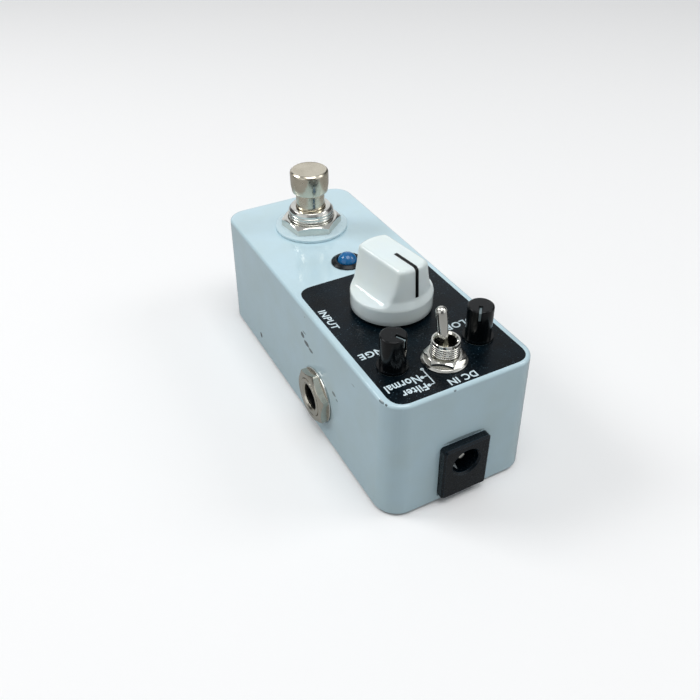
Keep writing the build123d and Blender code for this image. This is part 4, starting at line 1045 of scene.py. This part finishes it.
@dataclass
class Panel:
    """The black printed panel on the roof and the words on it.

    Attributes:
        low: Lowest x and y.
        high: Highest x and y.
        corner: Corner radius.
        film: Thickness of the print.
    """

    shop: Workshop
    low: tuple[float, float] = (-16.8, -1.5)
    high: tuple[float, float] = (16.8, 45.15)
    corner: float = 4.0
    film: float = 0.03
    words: list[tuple] = field(default_factory=lambda: [
        ("word_input", "INPUT", (14.3, 8.6), (16.1, 16.6), Reading.ALONG_Y, 0.12),
        ("word_dc_in", "DC IN", (-3.4, 42.8), (3.3, 44.7), Reading.ALONG_X, 0.0),
        ("word_normal", "Normal", (7.8, 38.5), (15.8, 40.8), Reading.ALONG_X, 0.0),
        ("word_filter", "Filter", (7.8, 41.4), (13.5, 43.5), Reading.ALONG_X, 0.0),
        ("word_range", "RANGE", (6.0, 27.0), (15.6, 29.0), Reading.ALONG_X, 0.0),
        ("word_color", "COLOR", (-15.8, 27.0), (-6.0, 29.0), Reading.ALONG_X, 0.0),
    ])

    def build(self) -> None:
        """Builds the panel, its words and its bracket.

        Returns:
            None.
        """
        self.shop.piece("panel_print", self.sheet(), PANEL, Body.CASE, "shell_paint")
        for name, text, low, high, reading, lean in self.words:
            mesh = self.word(text, low, high, reading, lean)
            self.shop.piece(name, mesh, WORD, Body.CASE, "shell_paint")
        self.shop.piece("toggle_bracket", self.bracket(), WORD, Body.CASE, "shell_paint")

    def sheet(self) -> bpy.types.Mesh:
        """Builds the film of ink.

        Returns:
            The mesh.
        """
        corners = [(self.high[0], self.high[1]), (self.low[0], self.high[1]),
                   (self.low[0], self.low[1]), (self.high[0], self.low[1])]
        edge = rounded(corners, self.corner, 12, True)
        middle = (0.0, (self.low[1] + self.high[1]) / 2)
        rings = [[(middle[0], middle[1], TOP - 0.05)]]
        for height in (TOP - 0.05, TOP + self.film):
            rings.append([(x, y, height) for x, y in edge])
        rings.append([(middle[0], middle[1], TOP + self.film)])
        mesh = loft(rings)
        mesh.transform(Matrix.Scale(MM, 4))
        return mesh

    def word(
        self, text: str, low: tuple[float, float], high: tuple[float, float], reading: Reading, lean: float
    ) -> bpy.types.Mesh:
        """Builds one word as thin raised print, fitted to a rectangle.

        Args:
            text: The word.
            low: Lowest corner of its rectangle.
            high: Highest corner.
            reading: The direction that it is read along.
            lean: How far its letters lean.

        Returns:
            The mesh.
        """
        curve = bpy.data.curves.new(text, "FONT")
        curve.body = text
        curve.offset = 0.022
        curve.shear = lean
        curve.resolution_u = 6
        curve.extrude = 0.02
        curve.space_character = 1.08
        mesh = evaluated(add_object(text, curve))
        spots = [v.co.copy() for v in mesh.vertices]
        least = Vector([min(s[i] for s in spots) for i in range(3)])
        most = Vector([max(s[i] for s in spots) for i in range(3)])
        across, along = high[0] - low[0], high[1] - low[1]
        wide, tall = (across, along) if reading is Reading.ALONG_X else (along, across)
        for vertex in mesh.vertices:
            u = (vertex.co.x - least.x) / (most.x - least.x) * wide
            v = (vertex.co.y - least.y) / (most.y - least.y) * tall
            lift = TOP + self.film + (0.02 if vertex.co.z > 0 else -0.02)
            if reading is Reading.ALONG_X:
                vertex.co = (low[0] + u, low[1] + v, lift)
            else:
                vertex.co = (high[0] - v, low[1] + u, lift)
        mesh.transform(Matrix.Scale(MM, 4))
        work = bmesh.new()
        work.from_mesh(mesh)
        return tidy_mesh(work)

    def bracket(self) -> bpy.types.Mesh:
        """Builds the line that joins the toggle to its two words, with a dot at each.

        Returns:
            The mesh.
        """
        work = bmesh.new()
        bars = [((5.8, 37.5), (6.05, 42.52)), ((5.9, 39.6), (7.0, 39.82)), ((5.8, 42.3), (7.0, 42.52))]
        for (x0, y0), (x1, y1) in bars:
            size = Vector((x1 - x0, y1 - y0, 0.07))
            spot = Vector(((x0 + x1) / 2, (y0 + y1) / 2, TOP + self.film - 0.015))
            bmesh.ops.create_cube(work, size=1, matrix=Matrix.Translation(spot) @ Matrix.Diagonal(size).to_4x4())
        for x, y, radius in ((5.92, 37.5, 0.4), (7.25, 39.71, 0.42), (7.25, 42.41, 0.42)):
            place = Matrix.Translation((x, y, TOP + self.film - 0.015))
            bmesh.ops.create_cone(work, cap_ends=True, segments=24, radius1=radius, radius2=radius, depth=0.07,
                                  matrix=place)
        mesh = tidy_mesh(work)
        mesh.transform(Matrix.Scale(MM, 4))
        return mesh


@dataclass
class FootSwitch:
    """The foot switch above the roof.

    Attributes:
        y: Place of its axis.
        barrel: Radius of the threaded bush; not used.
        rise: Height of the bush over the roof.
        pitch: Distance between threads.
    """

    shop: Workshop
    y: float = -28.3
    barrel: float = 6.0
    rise: float = 6.3
    pitch: float = 0.8

    def build(self) -> None:
        """Builds the switch.

        Returns:
            None.
        """
        shop, at = self.shop, axis_matrix((0, self.y, TOP))
        washer = rounded([(6.05, 0), (9.65, 0), (9.65, 0.9), (6.05, 0.9)], 0.32, 5, True)
        shop.piece("switch_washer", lathe(washer, at, 128, True), NYLON, Body.CASE, "nylon_white",
                   ["footswitch_washer"])
        nut = HexNut(14.0, 6.05, 2.3, 39.0, soft=0.5)
        shop.piece("switch_nut", nut.mesh(axis_matrix((0, self.y, TOP + 0.9)), 180), BRIGHT, Body.CASE, "nickel",
                   ["footswitch_nut"])
        foot = 27.5 - TOP
        core = rounded([(3.8, foot), (5.78, foot), (5.78, self.rise - 0.75), (5.3, self.rise - 0.05),
                        (4.5, self.rise), (3.85, self.rise - 0.12)], 0.3, 5, True)
        shop.piece("switch_bush", lathe(core, at, 128, True), BRIGHT, Body.CASE, "nickel", ["footswitch_bushing"])
        height = self.rise - 0.9 + 4.0
        shop.thread("switch_thread", (0, self.y, TOP - 4.0), 5.76, height / self.pitch, height, 0.235)
        self.button()

    def button(self) -> None:
        """Builds the stem and its worn cap.

        Returns:
            None.
        """
        low = 17.55 - TOP
        body = [(0, low), (2.5, low), (2.5, 24.6 - TOP), (5.0, 24.6 - TOP), (5.0, 26.2 - TOP), (3.75, 26.2 - TOP),
                (3.75, 9.9), (3.66, 10.0), (3.66, 10.6), (4.58, 10.6), (4.68, 10.7), (4.98, 12.6), (5.0, 15.75),
                (4.9, 16.1), (4.55, 16.42), (4.3, 16.48), (4.1, 16.44), (0, 16.44)]
        mesh = lathe(rounded(body, 0.07, 4), axis_matrix((0, self.y, TOP)), 128)
        self.shop.piece("switch_cap", mesh, WORN_CAP, Body.PLUNGER, "cap_nickel", ["footswitch_button"])


@dataclass
class Indicator:
    """The blue lamp in its bezel.

    Attributes:
        y: Place of its axis.
    """

    shop: Workshop
    y: float = -7.3

    def build(self) -> None:
        """Builds the lamp.

        Returns:
            None.
        """
        at = axis_matrix((0, self.y, TOP))
        ring = rounded([(2.56, -3.0), (3.2, -3.0), (3.2, 0.0), (4.1, 0.0), (4.1, 0.28), (3.25, 0.8), (2.75, 0.8),
                        (2.56, 0.5)], 0.12, 4, True)
        self.shop.piece("lamp_bezel", lathe(ring, at, 96, True), BEZEL, Body.CASE, "bezel_black", ["led_bezel"])
        dome = [(0.0, -5.4), (2.9, -5.4), (2.9, -4.4), (2.5, -4.4), (2.5, 0.1)]
        dome += [(2.5 * math.cos(math.radians(a)), 0.1 + 2.5 * math.sin(math.radians(a))) for a in range(6, 90, 6)]
        dome.append((0.0, 2.6))
        self.shop.piece("lamp_lens", lathe(dome, at, 72), LED_BLUE, Body.CASE, "led_blue", ["led_lens"])


@dataclass
class MainKnob:
    """The large knob, with a grip bar across it and a line along the bar.

    Attributes:
        y: Place of its axis.
        turn: Turn of the pointer from +Y, anticlockwise, in degrees.
        top: Height of its top over the roof.
        edge: Radius of its top edge.
        soft: How far the grip and the cone blend into each other.
        line_half: Half the line's width.
        line_rise: How far the line stands proud.
        line_start: Distance from the axis to the line's inner end.
        line_foot: Height of the line's lower end over the roof.
        spread: Grip half width at heights over the roof.
        cone: Outer radius at heights over the roof.
    """

    shop: Workshop
    y: float = 14.6
    turn: float = 8.5
    top: float = 14.5
    edge: float = 1.0
    soft: float = 0.9
    line_half: float = 0.44
    line_rise: float = 0.025
    line_start: float = 0.9
    line_foot: float = 7.2
    spread: tuple[tuple[float, float], ...] = (
        (5.0, 11.5), (5.3, 9.6), (5.45, 8.2), (5.7, 7.35), (6.1, 6.75), (6.8, 6.15), (7.8, 5.6), (9.2, 5.1),
        (11.0, 4.6), (13.0, 4.2), (14.5, 4.0),
    )
    cone: tuple[tuple[float, float], ...] = (
        (1.0, 9.4), (1.15, 9.52), (4.9, 9.55), (5.3, 9.42), (6.8, 8.8), (14.5, 8.3),
    )

    def between(self, table: Sequence[tuple[float, float]], height: float) -> float:
        """Reads a table of sizes at a height.

        Args:
            table: Heights and sizes.
            height: The height.

        Returns:
            The size there.
        """
        if height <= table[0][0]:
            return table[0][1]
        for (z0, v0), (z1, v1) in zip(table, table[1:]):
            if height <= z1:
                return v0 + (v1 - v0) * (height - z0) / (z1 - z0)
        return table[-1][1]

    def radius(self, angle: float, height: float, inset: float = 0.0) -> float:
        """Gives the knob's radius.

        Args:
            angle: Angle from the pointer, in radians.
            height: Height over the roof.
            inset: How far inside the surface.

        Returns:
            The radius.
        """
        outer = self.between(self.cone, height) - inset
        side = (self.between(self.spread, height) - inset) / max(abs(math.sin(angle)), 1e-4)
        gap = max(self.soft - abs(outer - side), 0.0) / self.soft
        return min(outer, side) - gap * gap * self.soft / 4

    def point(self, angle: float, radius: float, height: float) -> Point:
        """Places a point of the knob.

        Args:
            angle: Angle from the pointer, in radians.
            radius: Distance from the axis.
            height: Height over the roof.

        Returns:
            The point in millimetres.
        """
        real = angle + math.radians(90 + self.turn)
        return (radius * math.cos(real), self.y + radius * math.sin(real), TOP + height)

    def build(self) -> None:
        """Builds the knob and its line.

        Returns:
            None.
        """
        count = 256
        angles = [2 * math.pi * i / count for i in range(count)]
        flat = self.top - self.edge
        levels = [1.0, 1.05, 1.15, 2.4, 3.6, 4.6, 4.9, 5.0, 5.1, 5.2, 5.3, 5.37, 5.45, 5.55, 5.7, 5.9, 6.1, 6.4, 6.8,
                  7.3, 7.8, 8.5, 9.2, 10.1, 11.0, 12.0, 13.0, flat]
        rings = [[self.point(a, self.radius(a, z), z) for a in angles] for z in levels]
        for step in range(1, 7):
            bend = math.radians(90 * step / 6)
            z, inset = flat + self.edge * math.sin(bend), self.edge * (1 - math.cos(bend))
            rings.append([self.point(a, self.radius(a, flat, inset), z) for a in angles])
        for share in (0.85, 0.6, 0.3):
            rings.append([self.point(a, share * self.radius(a, flat, self.edge), self.top) for a in angles])
        rings.append([self.point(0, 0, self.top)])
        hollow = [(7.2, 1.0), (7.2, 3.6), (4.1, 3.6), (4.1, 5.0), (3.0, 5.0), (3.0, 11.0), (0.0, 11.0)]
        under = [[self.point(a, r, z) for a in angles] if r else [self.point(0, 0, z)] for r, z in hollow]
        mesh = loft(list(reversed(under)) + rings, sharp=40)
        mesh.transform(Matrix.Scale(MM, 4))
        self.shop.piece("knob_body", mesh, KNOB_WHITE, Body.KNOB, "knob_white", ["main_knob"])
        self.shop.piece("knob_line", self.line(), INK, Body.KNOB, "knob_white")

    def line(self) -> bpy.types.Mesh:
        """Builds the line that runs along the top, over the edge and down the end.

        Returns:
            The mesh.
        """
        proud, start = self.line_rise, self.line_start
        flat = self.top - self.edge
        rim = self.radius(0.0, flat, self.edge)
        stations: Profile = [(start + (rim - start) * k / 8, self.top + proud) for k in range(9)]
        for step in range(1, 7):
            bend = math.radians(90 * (1 - step / 6))
            reach = self.radius(0.0, flat, self.edge * (1 - math.cos(bend)))
            stations.append((reach + proud * math.cos(bend), flat + (self.edge + proud) * math.sin(bend)))
        for k in range(1, 13):
            z = flat + (self.line_foot - flat) * k / 12
            stations.append((self.radius(0.0, z) + proud, z))
        columns = [self.line_half * (k / 3 - 1) for k in range(7)]
        place = Matrix.Translation((0, self.y, TOP)) @ Matrix.Rotation(math.radians(self.turn), 4, "Z")
        work = bmesh.new()
        skins: list[list[list[bmesh.types.BMVert]]] = []
        for sink in (0.0, 0.2):
            rows: list[list[bmesh.types.BMVert]] = []
            for reach, z in stations:
                row = []
                for x in columns:
                    if z > flat + 0.01:
                        ahead = reach - (x * x / (2 * max(rim, 1)) if reach > rim else 0)
                        spot = (x, ahead, z - sink)
                    else:
                        full = reach - sink
                        spot = (x, math.sqrt(full * full - x * x), z)
                    row.append(work.verts.new(place @ Vector(spot)))
                rows.append(row)
            skins.append(rows)
        upper, lower = skins
        last, side = len(stations) - 1, len(columns) - 1
        for i in range(last):
            for j in range(side):
                work.faces.new((upper[i][j], upper[i][j + 1], upper[i + 1][j + 1], upper[i + 1][j]))
                work.faces.new((lower[i][j], lower[i + 1][j], lower[i + 1][j + 1], lower[i][j + 1]))
            for j in (0, side):
                work.faces.new((upper[i][j], upper[i + 1][j], lower[i + 1][j], lower[i][j]))
        for i in (0, last):
            for j in range(side):
                work.faces.new((upper[i][j], upper[i][j + 1], lower[i][j + 1], lower[i][j]))
        mesh = tidy_mesh(work)
        mesh.transform(Matrix.Scale(MM, 4))
        return mesh


@dataclass
class TrimKnob:
    """A small slotted knob.

    Attributes:
        node: The CAD node that it stands for.
        body: The body that it rides on.
        x: Place of its axis.
        turn: Clockwise turn of its slot from +Y, in degrees.
        y: Place of its axis along the case.
    """

    shop: Workshop
    node: str
    body: Body
    x: float
    turn: float
    y: float = 33.7

    def build(self) -> None:
        """Builds the knob; a grey strip in its slot, which paints the slot's reflections and stands for a pale line
        there; and a thin light ring at its foot, which paints the flange's glint.

        Returns:
            None.
        """
        self.shop.piece(self.node + "_knob", merged_copy(self.node, 35), GLOSS_BLACK, self.body, "knob_black",
                        [self.node], weighted=True)
        # A grey strip along the slot floor and down the side: painted reflection of the slot's walls, and also a pale
        # line in the slot.
        work = bmesh.new()
        top = Matrix.Translation((0, 1.72, 8.0))
        bmesh.ops.create_cube(work, size=1, matrix=top @ Matrix.Diagonal((0.5, 2.2, 0.12)).to_4x4())
        side = Matrix.Translation((0, 2.5, 6.98))
        bmesh.ops.create_cube(work, size=1, matrix=side @ Matrix.Diagonal((0.5, 0.12, 2.1)).to_4x4())
        place = Matrix.Translation((self.x, self.y, TOP)) @ Matrix.Rotation(-math.radians(self.turn), 4, "Z")
        mesh = tidy_mesh(work)
        mesh.transform(Matrix.Scale(MM, 4) @ place)
        self.shop.piece(self.node + "_slot", mesh, PAINTED_GLINT_GREY, self.body, "knob_black")
        # A thin light ring at the knob's foot: painted glint of the flange.
        ring = rounded([(2.95, 0.06), (3.42, 0.06), (3.42, 0.15), (2.95, 0.15)], 0.04, 2, True)
        light = lathe(ring, axis_matrix((self.x, self.y, TOP)), 64, True)
        self.shop.piece(self.node + "_foot_ring", light, PAINTED_GLINT_GREY, self.body, "knob_black")


@dataclass
class Toggle:
    """The two-way toggle above the roof.

    Attributes:
        y: Place of its axis.
        lean: How far the lever leans towards the foot switch, in degrees.
        tip: Distance from the lever's pivot to its tip.
        ball: Radius of the tip.
        pivot: Height of the pivot over the roof.
    """

    shop: Workshop
    y: float = 36.9
    lean: float = 14.0
    tip: float = 11.2
    ball: float = 1.25
    pivot: float = 1.2

    def build(self) -> None:
        """Builds the toggle.

        Returns:
            None.
        """
        shop, at = self.shop, axis_matrix((0, self.y, TOP))
        washer = rounded([(3.05, 0), (5.05, 0), (5.05, 0.4), (4.65, 0.8), (3.05, 0.8)], 0.15, 4, True)
        shop.piece("toggle_washer_ring", lathe(washer, at, 96, True), BRIGHT, Body.CASE, "nickel", ["toggle_washer"])
        nut = HexNut(8.0, 3.05, 1.2, 20.0, soft=0.4)
        shop.piece("toggle_hex", nut.mesh(axis_matrix((0, self.y, TOP + 0.8))), BRIGHT, Body.CASE, "nickel",
                   ["toggle_nut"])
        shop.piece("toggle_barrel", merged_copy("toggle_bushing", 35), BRIGHT, Body.CASE, "nickel",
                   ["toggle_bushing"], weighted=True)
        shop.thread("toggle_thread", (0, self.y, TOP + 1.9), 2.96, 5.5, 3.0, 0.18)
        tilt = math.radians(self.lean)
        axis = (0.0, -math.sin(tilt), math.cos(tilt))
        tip, ball = self.tip, self.ball
        bat = [(0, -5.4), (1.1, -5.4), (1.1, -1.5), (1.3, -1.2), (1.6, -0.6), (1.7, 0.0), (1.6, 0.6), (1.3, 1.15),
               (1.1, 1.6), (1.11, 2.4), (1.2, tip - 4.0), (ball, tip - 2.2)]
        arc = [math.radians(a) for a in range(0, 90, 10)]
        bat += [(ball * math.cos(a), tip - ball + ball * math.sin(a)) for a in arc]
        bat.append((0, tip))
        lever = lathe(bat, axis_matrix((0, self.y, TOP + self.pivot), axis), 48)
        shop.piece("toggle_bat", lever, BRIGHT, Body.LEVER, "nickel", ["toggle_lever"])


@dataclass
class Jack:
    """One side jack, outside the wall.

    Attributes:
        name: The jack's name in the frame.
        sign: 1 on the +X side, -1 on the -X side.
        y: Place of its axis along the case.
        z: Height of its axis.
        wall: Distance from the middle of the case to the washer's seat.
        washer: Thickness of the washer.
    """

    shop: Workshop
    name: str
    sign: int
    y: float
    z: float = 11.2
    wall: float = 18.65
    washer: float = 0.55

    def build(self) -> None:
        """Builds the washer, nut, bush and a black sleeve in the bore that paints the bore's shade.

        Returns:
            None.
        """
        shop, out = self.shop, (self.sign, 0, 0)
        name = self.name
        seat = axis_matrix((self.sign * self.wall, self.y, self.z), out)
        washer = rounded([(4.8, 0), (7.05, 0), (7.05, self.washer), (4.8, self.washer)], 0.16, 4, True)
        shop.piece(name + "_washer_ring", lathe(washer, seat, 96, True), BRIGHT, Body.CASE, "nickel",
                   [name + "_jack_washer"])
        on_washer = axis_matrix((self.sign * (self.wall + self.washer), self.y, self.z), out)
        nut = HexNut(12.3, 4.8, 1.95, 20.0, soft=0.5)
        shop.piece(name + "_hex", nut.mesh(on_washer, 180), JACK_FACE, Body.CASE, "nickel", [name + "_jack_nut"])
        foot = axis_matrix((self.sign * 12.7, self.y, self.z), out)
        bush = rounded([(3.27, 0), (4.74, 0), (4.74, 8.5), (3.75, 8.55), (3.27, 8.1)], 0.08, 3, True)
        shop.piece(name + "_bush", lathe(bush, foot, 96, True), JACK_FACE, Body.CASE, "nickel",
                   [name + "_jack_bushing"])
        # A black sleeve along the bore wall: painted shade inside the hole.
        shade_sleeve = rounded([(3.2, 0.05), (3.35, 0.05), (3.35, 7.7), (3.2, 7.7)], 0.04, 2, True)
        shop.piece(name + "_bore_lining", lathe(shade_sleeve, foot, 96, True), INK, Body.CASE, "jack_black")


@dataclass
class Inlet:
    """The power inlet in the end wall."""

    shop: Workshop

    def build(self) -> None:
        """Builds the plate and socket, the pin and the leaf contact.

        Returns:
            None.
        """
        shop = self.shop
        shop.piece("inlet_plate", merged_copy("inlet_body", 30), BLACK_PLASTIC, Body.CASE, "inlet_black",
                   ["inlet_body"], weighted=True)
        pin = [(0, 0), (0.7, 0), (0.7, 4.0), (1.05, 4.0), (1.05, 11.4), (0.95, 11.75), (0.7, 11.95), (0, 12.0)]
        mesh = lathe(rounded(pin, 0.12, 3), axis_matrix((0, 34.4, 11.5), (0, 1, 0)), 48)
        shop.piece("inlet_centre", mesh, BRIGHT, Body.CASE, "nickel", ["inlet_pin"])
        shop.piece("inlet_leaf", merged_copy("inlet_contact"), LEAF, Body.CASE, "nickel", ["inlet_contact"])


def paint_nodes(paints: Paintbox) -> None:
    """Gives every CAD node its finish, through its material slots.

    Args:
        paints: Where finishes come from.

    Returns:
        None.
    """
    for name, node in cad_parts.items():
        old = node.data.materials[0].name.split(".")[0] if node.data.materials else ""
        finish = SLOT_FINISHES.get(old, SLOT_FINISHES["pot_case"])
        if old not in SLOT_FINISHES:
            LOG.info("node %s has the material %s", name, old)
        node.data.materials.clear()
        node.data.materials.append(paints.get(finish))


@dataclass
class Studio:
    """The camera, lamps and floor.

    Attributes:
        lamps: Direction from the object, height angle, size, distance and strength of each lamp.
        ambient: Brightness of the surroundings.
        focal: Focal length in millimetres.
        eye: Place of the camera in metres.
        back: Direction from the object to the camera.
        roll: Turn of the camera about its own axis, in radians.
    """

    lamps: tuple[tuple[str, float, float, float, float, float], ...] = (
        ("key", -38.0, 42.0, 0.24, 0.7, 0.30),
        ("fill", 155.0, 42.0, 0.24, 0.7, 0.14),
        ("top", 85.0, 78.0, 0.5, 0.8, 0.42),
    )
    ambient: float = 0.36
    focal: float = 38.6526
    eye: Point = (0.0738730, 0.1369421, 0.1331441)
    back: Point = (0.3575, 0.6947, 0.6242)
    roll: float = -0.0144085

    def build(self) -> None:
        """Builds the studio.

        Returns:
            None.
        """
        scene = bpy.context.scene
        scene.view_settings.view_transform = "Standard"
        world = bpy.data.worlds.new("surroundings")
        world.use_nodes = True
        world.node_tree.nodes.clear()
        graph = Graph(world.node_tree)
        way = graph.add("ShaderNodeSeparateXYZ", {0: graph.add("ShaderNodeTexCoord").outputs["Generated"]})
        around = graph.maths("ARCTAN2", way.outputs[1], way.outputs[0])
        wave = graph.maths("SINE", graph.maths("ADD", graph.maths("MULTIPLY", around, 3.0), 0.9))
        band = graph.add("ShaderNodeMapRange", {0: wave, 1: -0.35, 2: 0.35, 3: 0.1, 4: 0.95}).outputs[0]
        high = graph.add("ShaderNodeMapRange", {0: way.outputs[2], 1: 0.45, 2: 0.75}).outputs[0]
        mirrored = graph.maths("ADD", graph.maths("MULTIPLY", band, graph.maths("SUBTRACT", 1.0, high)),
                               graph.maths("MULTIPLY", high, 0.5))
        glossy = graph.add("ShaderNodeLightPath").outputs["Is Glossy Ray"]
        level = graph.maths("ADD", graph.maths("MULTIPLY", glossy, mirrored),
                            graph.maths("MULTIPLY", graph.maths("SUBTRACT", 1.0, glossy), self.ambient))
        shade = graph.add("ShaderNodeBackground", {"Color": (0.96, 0.98, 1.0, 1.0), "Strength": level})
        graph.add("ShaderNodeOutputWorld", {"Surface": shade.outputs[0]})
        scene.world = world
        for settings in self.lamps:
            self.lamp(*settings)
        self.floor()
        self.camera()

    def lamp(self, name: str, around: float, up: float, size: float, away: float, share: float) -> None:
        """Adds a soft square lamp.

        Args:
            name: The lamp's name.
            around: Its direction, in degrees from +X.
            up: Its height angle in degrees.
            size: Its width in metres.
            away: Its distance in metres.
            share: How bright it makes a white surface that faces it.

        Returns:
            None.
        """
        light = bpy.data.lights.new(name, "AREA")
        light.shape = "SQUARE"
        light.size = size
        light.energy = math.pi**2 * away**2 * share
        lamp = add_object(name, light)
        a, e = math.radians(around), math.radians(up)
        toward = Vector((math.cos(a) * math.cos(e), math.sin(a) * math.cos(e), math.sin(e)))
        lamp.location = Vector((0.0, 0.005, 0.015)) + toward * away
        lamp.rotation_euler = toward.to_track_quat("Z", "Y").to_euler()

    def floor(self) -> None:
        """Adds the pale floor, which sends less light back than it shows.

        Returns:
            None.
        """
        material = bpy.data.materials.new("floor_pale")
        material.use_nodes = True
        material.node_tree.nodes.clear()
        graph = Graph(material.node_tree)
        path = graph.add("ShaderNodeLightPath").outputs
        seen = graph.maths("MAXIMUM", path["Is Camera Ray"], path["Is Transmission Ray"])
        colour = graph.blend(seen, (0.42, 0.42, 0.42, 1), (0.98, 0.98, 0.98, 1))
        skin = graph.add("ShaderNodeBsdfDiffuse", {"Color": colour})
        graph.add("ShaderNodeOutputMaterial", {"Surface": skin.outputs[0]})
        side = 3.0
        mesh = bpy.data.meshes.new("floor")
        mesh.from_pydata([(-side, -side, 0), (side, -side, 0), (side, side, 0), (-side, side, 0)], [], [(0, 1, 2, 3)])
        mesh.materials.append(material)
        add_object("floor", mesh)

    def camera(self) -> None:
        """Adds the camera.

        Returns:
            None.
        """
        lens = bpy.data.cameras.new("view")
        lens.lens = self.focal
        lens.sensor_width = 36.0
        lens.clip_start = 0.01
        eye = add_object("view", lens)
        back = Vector(self.back).normalized()
        right = Vector((0, 0, 1)).cross(back).normalized()
        up = back.cross(right)
        turned = right * math.cos(self.roll) + up * math.sin(self.roll)
        upper = up * math.cos(self.roll) - right * math.sin(self.roll)
        turn = Matrix((turned, upper, back)).transposed().to_4x4()
        eye.matrix_world = Matrix.Translation(self.eye) @ turn
        bpy.context.scene.camera = eye


def main() -> None:
    """Builds the whole scene.

    Returns:
        None.
    """
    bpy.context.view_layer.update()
    paints = Paintbox()
    paint_nodes(paints)
    shop = Workshop(paints)
    parts = [
        Case(shop), Panel(shop), FootSwitch(shop), Indicator(shop), MainKnob(shop),
        TrimKnob(shop, "left_pot_shaft", Body.LEFT, -10.8, 39.0),
        TrimKnob(shop, "right_pot_shaft", Body.RIGHT, 10.8, -27.0),
        Toggle(shop), Jack(shop, "input", 1, 12.6), Jack(shop, "output", -1, -4.4), Inlet(shop), Studio(),
    ]
    for part in parts:
        part.build()
        LOG.info("built %s", type(part).__name__)


if __name__ == "__main__":
    main()
